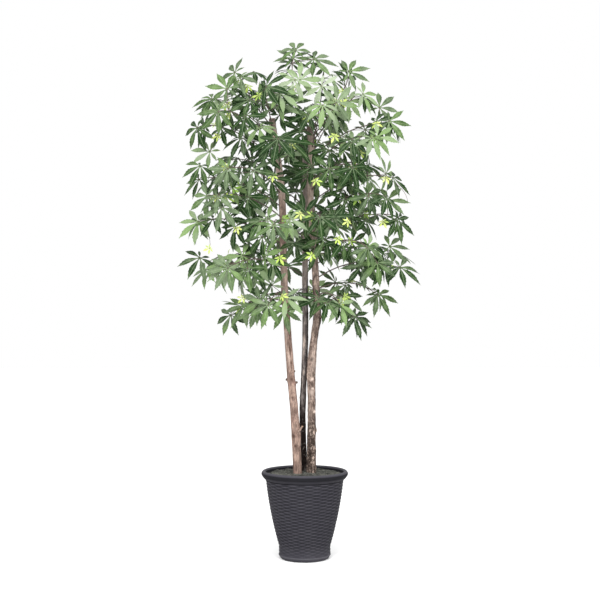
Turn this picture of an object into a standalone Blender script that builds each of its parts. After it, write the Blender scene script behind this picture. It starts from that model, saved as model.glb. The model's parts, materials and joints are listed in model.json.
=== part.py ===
"""A potted maple tree for a room: three cut wooden trunks stand in a round planter, and sprays
of hand-shaped leaves are plugged into holes drilled along the trunks.

Units are metres and +Z is up. The origin is the middle of the planter's flat underside, +X is to
the viewer's right and -Y is towards the viewer."""

import math
import random

import bmesh
import bpy
from mathutils import Matrix, Vector
from mathutils.bvhtree import BVHTree

UP = Vector((0, 0, 1))
FRONT = Vector((0, -1, 0))
FIT_GAP = 0.0003
SMOOTH_BELOW = math.radians(42)

# Planter: a round moulded pot with a foot, a bellied wall and a rolled rim.
POT_SIDES = 30
POT_HEIGHT = 0.306
POT_RIM_RADIUS = 0.1532
POT_RIM_WIDTH = 0.0162
POT_FOOT_RADIUS = 0.0911
POT_FOOT_HEIGHT = 0.036
POT_FOOT_ROUND = 0.015
POT_WALL_BOTTOM = 0.041
POT_WALL_TOP = 0.2715
POT_WALL_RADIUS_BOTTOM = 0.0905
POT_WALL_RADIUS_TOP = 0.1378
POT_BELLY = 0.0055
POT_THICKNESS = 0.0045
POT_FLOOR = 0.012
WALL_RINGS = 4
INNER_HEIGHTS = (0.090, 0.148, 0.268)

# Filling: a cast weight holds the trunks, a light disc lies on it and moss covers that.
WEIGHT_TOP = 0.148
FILLER_TOP = 0.268
MOSS_TOP = 0.295
MOSS_RADIUS = 0.1346
MOSS_EDGE = 0.008
MOSS_DOME = 0.006
MOSS_LUMP = 0.0022
MOSS_WAVES = (61.0, 47.0)
MOSS_SIDES = 20
MOSS_RINGS = (0.985, 0.80, 0.48)

# Each trunk's centre line from its foot to its cut top, as x, y, z, and its radius there. The
# first stretch is inside the planter.
TRUNKS = {
    "left": (
        (-0.0120, -0.008, 0.030, 0.0152), (-0.0247, -0.012, 0.300, 0.0152),
        (-0.0304, -0.013, 0.413, 0.0148), (-0.0371, -0.014, 0.525, 0.0141),
        (-0.0484, -0.014, 0.638, 0.0137), (-0.0568, -0.015, 0.750, 0.0126),
        (-0.0628, -0.015, 0.831, 0.0122), (-0.0717, -0.016, 0.949, 0.0121),
        (-0.0762, -0.016, 1.095, 0.0121), (-0.0772, -0.017, 1.206, 0.0120),
        (-0.0844, -0.018, 1.331, 0.0120), (-0.0950, -0.019, 1.402, 0.0119),
        (-0.1112, -0.020, 1.507, 0.0119), (-0.1160, -0.020, 1.554, 0.0117),
    ),
    "right": (
        (0.0200, -0.006, 0.030, 0.0168), (0.0233, -0.008, 0.300, 0.0168),
        (0.0240, -0.009, 0.441, 0.0145), (0.0251, -0.010, 0.554, 0.0132),
        (0.0261, -0.010, 0.666, 0.0128), (0.0307, -0.011, 0.750, 0.0127),
        (0.0399, -0.012, 0.815, 0.0128), (0.0452, -0.012, 0.845, 0.0138),
        (0.0434, -0.012, 0.891, 0.0124), (0.0395, -0.012, 0.978, 0.0122),
        (0.0346, -0.012, 1.068, 0.0118), (0.0251, -0.013, 1.183, 0.0114),
        (0.0198, -0.013, 1.280, 0.0110), (0.0222, -0.014, 1.361, 0.0108),
        (0.0251, -0.014, 1.449, 0.0105), (0.0162, -0.014, 1.525, 0.0103),
    ),
    "middle": (
        (0.0000, 0.034, 0.030, 0.0110), (-0.0015, 0.036, 0.300, 0.0110),
        (-0.0053, 0.037, 0.413, 0.0104), (-0.0067, 0.038, 0.497, 0.0101),
        (-0.0042, 0.039, 0.581, 0.0100), (-0.0004, 0.040, 0.666, 0.0102),
        (0.0025, 0.041, 0.750, 0.0105), (0.0028, 0.042, 0.861, 0.0105),
        (0.0018, 0.043, 0.949, 0.0103), (0.0018, 0.044, 1.095, 0.0102),
        (0.0056, 0.044, 1.183, 0.0100), (0.0040, 0.045, 1.300, 0.0098),
        (0.0020, 0.045, 1.430, 0.0095),
    ),
}
TRUNK_SIDES = 8
BARK_LOBES = ((2, 0.045, 1.0), (3, 0.030, 2.0))

# Stubs of cut side shoots: height, direction round the trunk in degrees, length and radius.
STUBS = {
    "left": ((0.624, 176, 0.0060, 0.0036), (0.612, -14, 0.0050, 0.0034), (0.468, 8, 0.0105, 0.0026)),
    "right": ((0.447, -12, 0.0045, 0.0052), (0.838, -8, 0.0030, 0.0075)),
    "middle": ((0.560, 200, 0.0040, 0.0032),),
}
STUB_SIDES = 5
STUB_TAPER = (1.25, 0.80)

# Sprays: height on the trunk, direction in degrees (0 right, 90 back, 180 left, 270 front),
# reach from the trunk, rise from the hole to the tip, and the number of grown leaves.
SPRAYS = {
    "left": (
        (0.905, 178, 0.165, -0.030, 4), (0.930, 250, 0.130, -0.030, 4),
        (0.985, 170, 0.265, 0.045, 6), (1.020, 222, 0.220, 0.000, 5),
        (1.060, 140, 0.240, 0.010, 5), (1.110, 184, 0.275, 0.080, 6),
        (1.150, 258, 0.190, 0.010, 4), (1.205, 205, 0.255, 0.060, 5),
        (1.245, 174, 0.265, 0.100, 6), (1.290, 232, 0.220, 0.060, 5),
        (1.335, 138, 0.255, 0.100, 5), (1.370, 272, 0.180, 0.080, 4),
        (1.410, 182, 0.255, 0.120, 5), (1.450, 222, 0.215, 0.100, 5),
        (1.490, 166, 0.185, 0.140, 5), (1.515, 258, 0.150, 0.100, 4),
        (1.537, 190, 0.110, 0.165, 4),
    ),
    "right": (
        (0.895, 352, 0.110, -0.030, 3), (0.925, 300, 0.120, -0.020, 4),
        (0.950, 6, 0.190, -0.005, 4), (0.990, 348, 0.265, 0.035, 5),
        (1.040, 12, 0.255, 0.050, 5), (1.075, 318, 0.215, 0.020, 5),
        (1.125, 0, 0.275, 0.085, 5), (1.165, 280, 0.185, 0.020, 4),
        (1.205, 330, 0.255, 0.060, 5), (1.260, 354, 0.255, 0.085, 6),
        (1.300, 302, 0.215, 0.060, 5), (1.340, 40, 0.250, 0.080, 5),
        (1.385, 325, 0.225, 0.080, 5), (1.425, 2, 0.260, 0.115, 5),
        (1.455, 285, 0.160, 0.110, 4), (1.478, 340, 0.150, 0.150, 4),
        (1.495, 8, 0.125, 0.195, 4), (1.508, 55, 0.075, 0.230, 3),
        (1.512, 186, 0.050, 0.248, 4),
    ),
    "middle": (
        (0.930, 98, 0.210, 0.000, 4), (1.000, 142, 0.270, 0.025, 5),
        (1.050, 40, 0.290, 0.025, 5), (1.120, 102, 0.290, 0.040, 5),
        (1.190, 58, 0.300, 0.060, 5), (1.250, 130, 0.280, 0.080, 5),
        (1.320, 82, 0.260, 0.100, 5), (1.370, 118, 0.220, 0.150, 5),
        (1.405, 60, 0.180, 0.200, 4),
    ),
}
SEED = 57
STEM_ROOT_RADIUS = 0.0024
STEM_TIP_RADIUS = 0.0016
STEM_RUNS = 4
STEM_PLUG = 0.0075
STEM_STRAIGHT = 0.005
STEM_BOW = 0.12
STEM_SWAY = 0.018
STEEPEST = 1.1
HOLE_MOUTH = 0.012
HOLE_GROWTH = 2.4 * FIT_GAP

# Where leaves sit along a stem, as shares of its length, and how far their stalks turn from it.
TIP_PLACE = 0.985
FIRST_LEAF, LAST_LEAF = 0.32, 0.88
YOUNG_PLACE = (0.45, 0.95)
STALK_TURN = (38, 66)
TIP_TURN = 14
STALK_LENGTH = (0.036, 0.064)
TIP_STALK_LENGTH = (0.019, 0.031)
YOUNG_STALK_LENGTH = (0.026, 0.046)
STALK_RISE = (-0.15, 0.40)
STALK_ROOT_SHARE = 0.45
STALK_FREE_SHARE = 0.80

# A grown leaf: leaflets at these angles from its middle one, each with its share of the length.
LEAFLETS = ((-92, 0.84), (-46, 0.97), (0, 1.04), (46, 0.97), (92, 0.84))
LEAF_LENGTH = (0.078, 0.093)
LEAFLET_WIDTH = 0.150
LEAFLET_WIDEST = 0.54
LEAF_FOLD = 0.20
LEAF_HUB = 0.0060
LEAF_HALF_THICKNESS = 0.0012
LEAF_BEND = (10, 38)
HUB_BACK = (0.0012, -0.0017)

# A young leaf: five slim leaflets without broad shoulders.
YOUNG_LEAFLETS = ((-112, 0.70), (-58, 0.92), (0, 1.10), (58, 0.92), (112, 0.70))
YOUNG_LENGTH = (0.023, 0.030)
YOUNG_HUB = 0.0048
YOUNG_BEND = (5, 19)

# How leaves are held: they look up, outward and, on the near half, towards the viewer.
LEAF_DROOP = (0, 14)
FACE_UP = 0.42
FACE_OUT = 0.34
FACE_VIEWER = 0.80
FACE_SCATTER = 0.34
NEAR_HALF = (0.16, 0.20)
HANG = (0.15, 0.80)
YOUNG_HANG = (0.06, 0.32)
LEAST_AHEAD = 0.10
LEAST_ROUND = 0.42
CENTRAL = 0.02

# Finding room: each leaf is tried in a few positions until it is clear of all others.
PLACING_TRIES = 14
TRY_SPREAD = 0.12
CLEARANCE = 0.0009
LEAF_REACH = 0.28
CROWN_RINGS = [0.60 + 0.03 * k for k in range(34)]


def clear_scene():
    for obj in list(bpy.data.objects):
        bpy.data.objects.remove(obj, do_unlink=True)


def material(name, colour, roughness):
    made = bpy.data.materials.new(name)
    made.use_nodes = True
    shader = made.node_tree.nodes["Principled BSDF"]
    shader.inputs["Base Color"].default_value = (*colour, 1)
    shader.inputs["Roughness"].default_value = roughness
    shader.inputs["Metallic"].default_value = 0
    return made


def finished_object(name, body, finish, collection=None):
    """Turns a bmesh into an object whose faces point outwards."""
    bmesh.ops.recalc_face_normals(body, faces=body.faces)
    mesh = bpy.data.meshes.new(name)
    body.to_mesh(mesh)
    body.free()
    mesh.shade_smooth()
    mesh.set_sharp_from_angle(angle=SMOOTH_BELOW)
    if finish:
        mesh.materials.append(finish)
    obj = bpy.data.objects.new(name, mesh)
    (collection or bpy.context.scene.collection).objects.link(obj)
    return obj


def mesh_object(name, shape, finish=None, collection=None):
    vertices, faces = shape
    body = bmesh.new()
    points = [body.verts.new(vertex) for vertex in vertices]
    for face in faces:
        body.faces.new([points[index] for index in face])
    return finished_object(name, body, finish, collection)


def cutter_object(name, shape, collection):
    cutter = mesh_object(name, shape, collection=collection)
    cutter.hide_render = True
    cutter.display_type = "WIRE"
    return cutter


def joined_rings(rings):
    """Vertices and faces of a closed tube through rings that have the same number of points."""
    count = len(rings[0])
    vertices = [point for ring in rings for point in ring]
    faces = [tuple(range(count)), tuple(range(len(vertices) - count, len(vertices)))]
    for low in range(0, len(vertices) - count, count):
        for j in range(count):
            a, b = low + j, low + (j + 1) % count
            faces.append((a, b, b + count, a + count))
    return vertices, faces


def slim_tube(points, radii, side, top, sides=3):
    """A tube with few sides through points. Its rings are all turned alike, so its sides are flat,
    and its first edge runs along its top."""
    turn = 2 * math.pi / sides
    return joined_rings([
        [point + radius * (math.sin(j * turn) * side + math.cos(j * turn) * top) for j in range(sides)]
        for point, radius in zip(points, radii)
    ])


def working_collection(name):
    made = bpy.data.collections.new(name)
    bpy.context.scene.collection.children.link(made)
    return made


def apply_boolean(obj, operation, operands):
    """Joins or cuts obj with the objects of a collection, then removes those objects."""
    modifier = obj.modifiers.new(operation.title(), "BOOLEAN")
    modifier.operation = operation
    modifier.operand_type = "COLLECTION"
    modifier.collection = operands
    modifier.solver = "EXACT"
    bpy.context.view_layer.objects.active = obj
    bpy.ops.object.modifier_apply(modifier=modifier.name)
    for operand in list(operands.objects):
        bpy.data.objects.remove(operand, do_unlink=True)
    bpy.data.collections.remove(operands)


# The planter and what fills it.


def turned(name, profile, finish, sides=POT_SIDES):
    """A round piece spun from (radius, height) points, with both of its open ends filled."""
    body = bmesh.new()
    points = [body.verts.new((radius, 0, z)) for radius, z in profile]
    runs = [body.edges.new(pair) for pair in zip(points, points[1:])]
    bmesh.ops.spin(
        body, geom=points + runs, cent=(0, 0, 0), axis=(0, 0, 1),
        angle=2 * math.pi, steps=sides, use_merge=True,
    )
    bmesh.ops.holes_fill(body, edges=[edge for edge in body.edges if edge.is_boundary], sides=0)
    return finished_object(name, body, finish)


def wall_radius(z):
    """Outer radius of the planter's bellied wall at a height."""
    share = (z - POT_WALL_BOTTOM) / (POT_WALL_TOP - POT_WALL_BOTTOM)
    straight = POT_WALL_RADIUS_BOTTOM + share * (POT_WALL_RADIUS_TOP - POT_WALL_RADIUS_BOTTOM)
    return straight + 4 * share * (1 - share) * POT_BELLY


def inner_profile():
    """The planter's inside, from its floor up."""
    floor = (POT_FOOT_RADIUS - 2 * POT_THICKNESS, POT_FLOOR)
    return [floor, *((wall_radius(z) - POT_THICKNESS, z) for z in INNER_HEIGHTS)]


def inside_radius(z):
    """The planter's inner radius at a height, on the straight runs of its inner profile."""
    for (r0, z0), (r1, z1) in zip(inner_profile(), inner_profile()[1:]):
        if z <= z1:
            return r0 + (r1 - r0) * (z - z0) / (z1 - z0)
    return inner_profile()[-1][0]


def build_planter(finish):
    foot = [
        (POT_FOOT_RADIUS - POT_FOOT_ROUND, 0.0),
        (POT_FOOT_RADIUS - POT_FOOT_ROUND / 3, 0.3 * POT_FOOT_ROUND),
        (POT_FOOT_RADIUS, 1.15 * POT_FOOT_ROUND),
        (POT_FOOT_RADIUS, POT_FOOT_HEIGHT),
    ]
    step = (POT_WALL_TOP - POT_WALL_BOTTOM) / (WALL_RINGS + 1)
    heights = [POT_WALL_BOTTOM + step * k for k in range(WALL_RINGS + 2)]
    wall = [(wall_radius(z), z) for z in heights]
    rim = [
        (POT_RIM_RADIUS - 0.0020, POT_HEIGHT - 0.0175),
        (POT_RIM_RADIUS, POT_HEIGHT - 0.0120),
        (POT_RIM_RADIUS - 0.0016, POT_HEIGHT - 0.0050),
        (POT_RIM_RADIUS - 0.0085, POT_HEIGHT),
        (POT_RIM_RADIUS - 0.0140, POT_HEIGHT - 0.0035),
        (POT_RIM_RADIUS - POT_RIM_WIDTH, POT_HEIGHT - 0.0120),
    ]
    turned("planter", [*foot, *wall, *rim, *reversed(inner_profile())], finish)


def filling_piece(name, low, high, finish):
    """A block that follows the planter's inside between two heights, with a small gap."""
    between = [z for z in INNER_HEIGHTS if low < z < high]
    heights = [low + FIT_GAP, *between, high]
    return turned(name, [(inside_radius(z) - 2 * FIT_GAP, z) for z in heights], finish)


def build_moss(finish):
    """A lumpy cover that rises a little towards the trunks."""
    low = FILLER_TOP + FIT_GAP
    top = [(MOSS_RADIUS * share, MOSS_TOP + MOSS_DOME * (1 - share)) for share in MOSS_RINGS]
    edge = [(MOSS_RADIUS - 0.005, low), (MOSS_RADIUS - 0.003, low + MOSS_EDGE), (MOSS_RADIUS, MOSS_TOP - 0.006)]
    moss = turned("moss_cover", [*edge, *top], finish, MOSS_SIDES)
    for vertex in moss.data.vertices:
        if vertex.co.z > MOSS_TOP - FIT_GAP:
            wave = math.sin(MOSS_WAVES[0] * vertex.co.x + 1) * math.cos(MOSS_WAVES[1] * vertex.co.y)
            vertex.co.z += MOSS_LUMP * wave
    return moss


# The trunks.


def trunk_at(trunk, z):
    """Centre and radius of a trunk at a height."""
    for (x0, y0, z0, r0), (x1, y1, z1, r1) in zip(TRUNKS[trunk], TRUNKS[trunk][1:]):
        if z <= z1:
            break
    share = (z - z0) / (z1 - z0)
    return Vector((x0 + (x1 - x0) * share, y0 + (y1 - y0) * share, z)), r0 + (r1 - r0) * share


def trunk_ring(centre, radius):
    """One level ring of a trunk. All have the same slightly lobed shape, so their sides are flat."""
    ring = []
    for j in range(TRUNK_SIDES):
        angle = 2 * math.pi * j / TRUNK_SIDES
        lobed = 1 + sum(size * math.cos(count * angle + shift) for count, size, shift in BARK_LOBES)
        ring.append(centre + radius * lobed * Vector((math.cos(angle), math.sin(angle), 0)))
    return ring


def foot_cutter(trunk, collection):
    """The trunk's straight foot with a small gap all round, for its hole in the filling."""
    foot, exit_point = TRUNKS[trunk][:2]
    rings = []
    for z in (foot[2] - FIT_GAP, exit_point[2] + MOSS_EDGE):
        centre, radius = trunk_at(trunk, min(z, exit_point[2]))
        centre.z = z
        rings.append(trunk_ring(centre, radius + 1.5 * FIT_GAP))
    cutter_object(f"{trunk} foot hole", joined_rings(rings), collection)


def build_trunk(trunk, finish):
    rings = [trunk_ring(Vector(point[:3]), point[3]) for point in TRUNKS[trunk]]
    body = mesh_object(f"trunk_{trunk}", joined_rings(rings), finish)
    stubs = working_collection(f"{trunk} stubs")
    for k, (height, azimuth, length, radius) in enumerate(STUBS[trunk]):
        centre, trunk_radius = trunk_at(trunk, height)
        out = Vector((math.cos(math.radians(azimuth)), math.sin(math.radians(azimuth)), 0))
        ends = [centre + out * (0.3 * trunk_radius), centre + out * (trunk_radius + length)]
        radii = [radius * share for share in STUB_TAPER]
        mesh_object(f"stub {k}", slim_tube(ends, radii, UP.cross(out), UP, STUB_SIDES), collection=stubs)
    apply_boolean(body, "UNION", stubs)
    holes = working_collection(f"{trunk} holes")
    radius = STEM_ROOT_RADIUS + HOLE_GROWTH
    for k, spray in enumerate(SPRAYS[trunk]):
        mouth, along, side, top = spray_root(trunk, spray)
        ends = [mouth - along * (STEM_PLUG + FIT_GAP), mouth + along * HOLE_MOUTH]
        cutter_object(f"hole {k}", slim_tube(ends, (radius, radius), side, top), holes)
    apply_boolean(body, "DIFFERENCE", holes)


# Where the sprays and their leaves grow. All places are worked out before anything is joined.


def outward(spray):
    azimuth = math.radians(spray[1])
    return Vector((math.cos(azimuth), math.sin(azimuth), 0))


def stem_lead(spray):
    """How far out and up a stem heads before it bows over, so that none starts too steeply."""
    reach, rise = spray[2], spray[3]
    ahead, lift = 0.5 * reach, 0.5 * rise + 2 * STEM_BOW * reach
    if lift > STEEPEST * ahead:
        ahead = max(ahead, 0.25 * rise)
        lift = min(lift, STEEPEST * ahead)
    return ahead, lift


def spray_root(trunk, spray):
    """The hole's mouth, the direction in which the stem leaves it, and the level and the upper
    direction across the stem as a whole."""
    centre, radius = trunk_at(trunk, spray[0])
    out = outward(spray)
    ahead, lift = stem_lead(spray)
    side = UP.cross(out)
    chord = (out * spray[2] + UP * spray[3]).normalized()
    return centre + out * radius, (out * ahead + UP * lift).normalized(), side, chord.cross(side)


def stem_point(trunk, spray, sway, t):
    """A point of a stem's arch: it leaves the trunk rising, and bows over towards its tip."""
    mouth, _, side, _ = spray_root(trunk, spray)
    ahead, lift = stem_lead(spray)
    early, late = 2 * t * (1 - t), t * t
    level = early * ahead + late * spray[2]
    return mouth + outward(spray) * level + UP * (early * lift + late * spray[3]) + side * sway * late


def stem_line(trunk, spray, sway):
    """The stem's points and radii, from its plugged end in the trunk to its tip, and its sides."""
    mouth, along, side, top = spray_root(trunk, spray)
    shares = [(k + 1) / STEM_RUNS for k in range(STEM_RUNS)]
    points = [mouth - along * STEM_PLUG, mouth + along * STEM_STRAIGHT]
    points += [stem_point(trunk, spray, sway, share) for share in shares]
    radii = [STEM_ROOT_RADIUS + (STEM_TIP_RADIUS - STEM_ROOT_RADIUS) * share for share in (0, 0, *shares)]
    return points, radii, side, top


def on_stem(line, t):
    """The point of the stem's straight runs at a share of its length, where a stalk is rooted."""
    k = min(int(t * STEM_RUNS), STEM_RUNS - 1)
    return line[k + 1].lerp(line[k + 2], t * STEM_RUNS - k)


def arc(length, droop, bend, share):
    """Reach and height of a leaflet's rib at a share of its length, as it bends down."""
    turned_to = droop + bend * share
    reach = length * (math.sin(turned_to) - math.sin(droop)) / bend
    return reach, length * (math.cos(turned_to) - math.cos(droop)) / bend


def leaf_outline(leaf):
    """The outline of a leaf round its hub, from its left back corner to its right one, in the
    leaf's own axes: x right, y along the middle leaflet, z up from the blade."""
    parts, hub = leaf["leaflets"], leaf["hub_radius"]
    outline = [Vector((-HUB_BACK[0], HUB_BACK[1], 0))]
    for k, (angle, length, droop, bend) in enumerate(parts):
        ahead = Vector((math.sin(angle), math.cos(angle), 0))
        across = Vector((math.cos(angle), -math.sin(angle), 0)) * LEAFLET_WIDTH * length
        reach, fall = arc(length, droop, bend, LEAFLET_WIDEST)
        middle = ahead * reach + UP * (fall + LEAF_FOLD * LEAFLET_WIDTH * length)
        reach, fall = arc(length, droop, bend, 1.0)
        tip = ahead * reach + UP * fall
        outline += [middle - across, tip, middle + across] if leaf["broad"] else [tip]
        if k + 1 < len(parts):
            between = (angle + parts[k + 1][0]) / 2
            outline.append(Vector((hub * math.sin(between), hub * math.cos(between), 0)))
    return [*outline, Vector((HUB_BACK[0], HUB_BACK[1], 0))]


def leaf_shapes(leaf):
    """One leaf with its stalk: a thin blade that is thickest along its ribs, and a straight stalk
    that starts at the underside of the hub. The blade, the stalk and the stalk's free length are
    also given alone, for finding room."""
    frame = leaf["frame"]
    outline = [frame @ point for point in leaf_outline(leaf)]
    above, below = (frame @ Vector((0, 0, way * LEAF_HALF_THICKNESS)) for way in (1, -1))
    count = len(outline)
    top, bottom, low = count, count + 1, count + 2
    faces = [(top, k + 1, k) for k in range(count - 1)]
    faces += [(bottom, k, k + 1) for k in range(count - 1)]
    faces.append((top, 0, count - 1))
    blade = [*outline, above, below], [*faces, (bottom, count - 1, 0)]
    hub_ring, hub_index = [below, outline[-1], outline[0]], (bottom, count - 1, 0)
    middle = (hub_ring[0] + hub_ring[1] + hub_ring[2]) / 3
    ring = [leaf["root"] + (point - middle) * STALK_ROOT_SHARE for point in hub_ring]
    sides = [(low + j, low + (j + 1) % 3, hub_index[(j + 1) % 3], hub_index[j]) for j in range(3)]
    whole = [*outline, above, below, *ring], [*faces, *sides, (low + 2, low + 1, low)]
    free = [start.lerp(end, STALK_FREE_SHARE) for start, end in zip(ring, hub_ring)]
    return whole, blade, joined_rings([ring, hub_ring]), joined_rings([ring, free])


def leaf_frame(hub, ahead, face):
    """The leaf's axes at its hub, from the way its middle leaflet points and the way it faces."""
    right = ahead.cross(face)
    return Matrix.Translation(hub) @ Matrix((right, ahead, face)).transposed().to_4x4()


def draw_leaflets(draw, young):
    size = draw.uniform(*(YOUNG_LENGTH if young else LEAF_LENGTH))
    droop = draw.uniform(*LEAF_DROOP)
    bend = draw.uniform(*(YOUNG_BEND if young else LEAF_BEND))
    return [
        (
            math.radians(angle + draw.uniform(-4, 4)),
            size * share * draw.uniform(0.94, 1.06),
            math.radians(droop + draw.uniform(-4, 6)),
            math.radians(bend + draw.uniform(-4, 6)),
        )
        for angle, share in (YOUNG_LEAFLETS if young else LEAFLETS)
    ]


def proposed_leaf(draw, spray, parts, t, handed, young, attempt):
    """One way to hold a leaf off its stem. Later attempts stray further from the usual one."""
    trunk, row, sway = spray["trunk"], spray["row"], spray["sway"]
    base = on_stem(spray["line"], t)
    tangent = stem_point(trunk, row, sway, t + 0.01) - stem_point(trunk, row, sway, t - 0.01)
    spread = 1.0 + TRY_SPREAD * attempt
    if handed == 0:
        turn = math.radians(draw.uniform(-TIP_TURN, TIP_TURN) * spread)
        length = draw.uniform(*TIP_STALK_LENGTH)
    else:
        turn = handed * math.radians(draw.uniform(*STALK_TURN)) * (1 + 0.4 * TRY_SPREAD * attempt)
        length = draw.uniform(*(YOUNG_STALK_LENGTH if young else STALK_LENGTH))
    away = tangent.normalized() * math.cos(turn) - spray["side"] * math.sin(turn)
    away = (away + UP * draw.uniform(*STALK_RISE)).normalized()
    level = Vector((base.x, base.y, 0))
    out = level.normalized() if level.length > CENTRAL else FRONT
    nearness = min(max((NEAR_HALF[0] - (base + away * length).y) / NEAR_HALF[1], 0.0), 1.0)
    scatter = Vector([draw.uniform(-1, 1) for _ in range(3)]) * FACE_SCATTER * spread
    face = (UP * FACE_UP + out * FACE_OUT + FRONT * FACE_VIEWER * nearness + scatter).normalized()
    want = away * 0.9 - UP * draw.uniform(*(YOUNG_HANG if young else HANG))
    ahead = (want - face * want.dot(face)).normalized()
    along = (away + ahead * 0.7).normalized()
    return {
        "root": base, "frame": leaf_frame(base + along * length, ahead, face), "leaflets": parts,
        "broad": not young, "hub_radius": YOUNG_HUB if young else LEAF_HUB,
        "held_well": along.dot(ahead) > LEAST_AHEAD and along.dot(ahead * 0.58 + face * 0.82) > LEAST_ROUND,
    }


def tree_of(shape):
    return BVHTree.FromPolygons([tuple(point) for point in shape[0]], shape[1], epsilon=CLEARANCE)


def fits(name, blade, stalk, hub, solids):
    """True if a leaf's blade and stalk are clear of everything but the stem that bears them."""
    for owner, kind, place, tree in solids:
        if kind == "leaf" and (place - hub).length > LEAF_REACH:
            continue
        own_base = owner == name and kind != "trunk"
        if blade.overlap(tree) or (stalk.overlap(tree) and not own_base):
            return False
    return True


def place_leaf(draw, spray, solids, t, handed, young):
    parts = draw_leaflets(draw, young)
    for attempt in range(PLACING_TRIES):
        leaf = proposed_leaf(draw, spray, parts, t, handed, young, attempt)
        whole, blade, stalk, free = leaf_shapes(leaf)
        blade_tree, stalk_tree = tree_of(blade), tree_of(stalk)
        hub = leaf["frame"].translation
        if not leaf["held_well"] or tree_of(free).overlap(blade_tree):
            continue
        if fits(spray["name"], blade_tree, stalk_tree, hub, solids):
            leaf["whole"] = whole
            spray["leaves"].append(leaf)
            solids.append(("", "leaf", hub, blade_tree))
            solids.append((spray["name"], "leaf", hub, stalk_tree))
            return


def grow():
    """Every spray with its stem and the leaves that found room clear of all others."""
    draw = random.Random(SEED)
    sprays, solids = [], []
    for trunk, rows in SPRAYS.items():
        rings = [trunk_ring(*trunk_at(trunk, min(z, TRUNKS[trunk][-1][2]))) for z in CROWN_RINGS]
        solids.append(("", "trunk", Vector(), tree_of(joined_rings(rings))))
        for k, row in enumerate(rows):
            sway = draw.uniform(-STEM_SWAY, STEM_SWAY)
            points, radii, side, top = stem_line(trunk, row, sway)
            name = f"spray_{trunk}_{k + 1:02d}"
            free = slim_tube(points[1:], radii[1:], side, top)
            solids.append((name, "stem", Vector(), tree_of(free)))
            sprays.append({
                "name": name, "trunk": trunk, "row": row, "sway": sway, "side": side,
                "line": points, "tube": slim_tube(points, radii, side, top), "leaves": [],
            })
    for spray in sprays:
        place_leaf(draw, spray, solids, TIP_PLACE, 0, False)
        handed, along_stem = draw.choice((-1, 1)), spray["row"][4] - 1
        for k in range(along_stem):
            share = k / max(along_stem - 1, 1)
            place_leaf(draw, spray, solids, LAST_LEAF + (FIRST_LEAF - LAST_LEAF) * share, handed, False)
            handed = -handed
        place_leaf(draw, spray, solids, draw.uniform(*YOUNG_PLACE), handed, True)
    return sprays


def build_spray(spray, finish):
    """The stem with its leaves' stalks rooted in it, joined into one solid."""
    obj = mesh_object(spray["name"], spray["tube"], finish)
    leaves = working_collection(f"{spray['name']} leaves")
    for k, leaf in enumerate(spray["leaves"]):
        mesh_object(f"{spray['name']} leaf {k}", leaf["whole"], collection=leaves)
    apply_boolean(obj, "UNION", leaves)


def main():
    clear_scene()
    build_planter(material("charcoal plastic", (0.035, 0.035, 0.040), 0.55))
    filling = [
        filling_piece("cast_weight", POT_FLOOR, WEIGHT_TOP, material("cast mortar", (0.42, 0.40, 0.37), 0.9)),
        filling_piece("filler_disc", WEIGHT_TOP, FILLER_TOP, material("filler", (0.55, 0.50, 0.40), 0.95)),
        build_moss(material("dark moss", (0.05, 0.055, 0.04), 1.0)),
    ]
    for piece in filling:
        cutters = working_collection(f"{piece.name} holes")
        for trunk in TRUNKS:
            foot_cutter(trunk, cutters)
        apply_boolean(piece, "DIFFERENCE", cutters)
    build_trunk("left", material("pink brown bark", (0.30, 0.18, 0.13), 0.85))
    build_trunk("right", material("tan bark", (0.33, 0.24, 0.17), 0.85))
    build_trunk("middle", material("dark bark", (0.07, 0.055, 0.045), 0.85))
    green = material("leaf green", (0.08, 0.19, 0.06), 0.6)
    for spray in grow():
        build_spray(spray, green)


main()
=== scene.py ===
"""The looks of a potted maple tree for a room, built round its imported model.

Units are metres and +Z is up, +X is to the viewer's right and -Y is towards the viewer. The
leaves grow by the same rules and numbers as in the model, so each fine leaf lies where a plain
one does, and more leaves then grow between them on the same stems."""

import json
import random
from math import atan2, cos, exp, hypot, pi, radians, sin, sqrt

import bmesh
import bpy
import numpy as np
from mathutils import Matrix, Vector, geometry, noise
from mathutils.bvhtree import BVHTree

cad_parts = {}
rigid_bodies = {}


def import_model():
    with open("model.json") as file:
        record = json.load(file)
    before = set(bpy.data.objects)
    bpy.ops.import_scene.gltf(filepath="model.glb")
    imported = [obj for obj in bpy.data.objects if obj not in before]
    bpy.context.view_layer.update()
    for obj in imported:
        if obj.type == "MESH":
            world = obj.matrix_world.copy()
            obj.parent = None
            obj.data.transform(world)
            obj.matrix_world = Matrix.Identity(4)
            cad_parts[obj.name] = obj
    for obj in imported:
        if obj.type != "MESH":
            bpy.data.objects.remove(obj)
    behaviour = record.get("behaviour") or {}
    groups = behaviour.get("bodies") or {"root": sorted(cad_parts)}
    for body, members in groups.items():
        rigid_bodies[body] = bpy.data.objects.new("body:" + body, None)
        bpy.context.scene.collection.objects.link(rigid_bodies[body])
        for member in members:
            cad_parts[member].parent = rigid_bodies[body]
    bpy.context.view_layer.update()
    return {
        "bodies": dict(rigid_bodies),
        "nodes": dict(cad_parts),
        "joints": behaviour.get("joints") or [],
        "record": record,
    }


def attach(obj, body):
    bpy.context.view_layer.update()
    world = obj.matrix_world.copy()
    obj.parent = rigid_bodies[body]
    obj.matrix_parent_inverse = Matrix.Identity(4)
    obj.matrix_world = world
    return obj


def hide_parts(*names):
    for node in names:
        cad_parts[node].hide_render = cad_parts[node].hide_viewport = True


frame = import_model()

UP = Vector((0, 0, 1))
FRONT = Vector((0, -1, 0))
FIT_GAP = 0.0003

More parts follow.
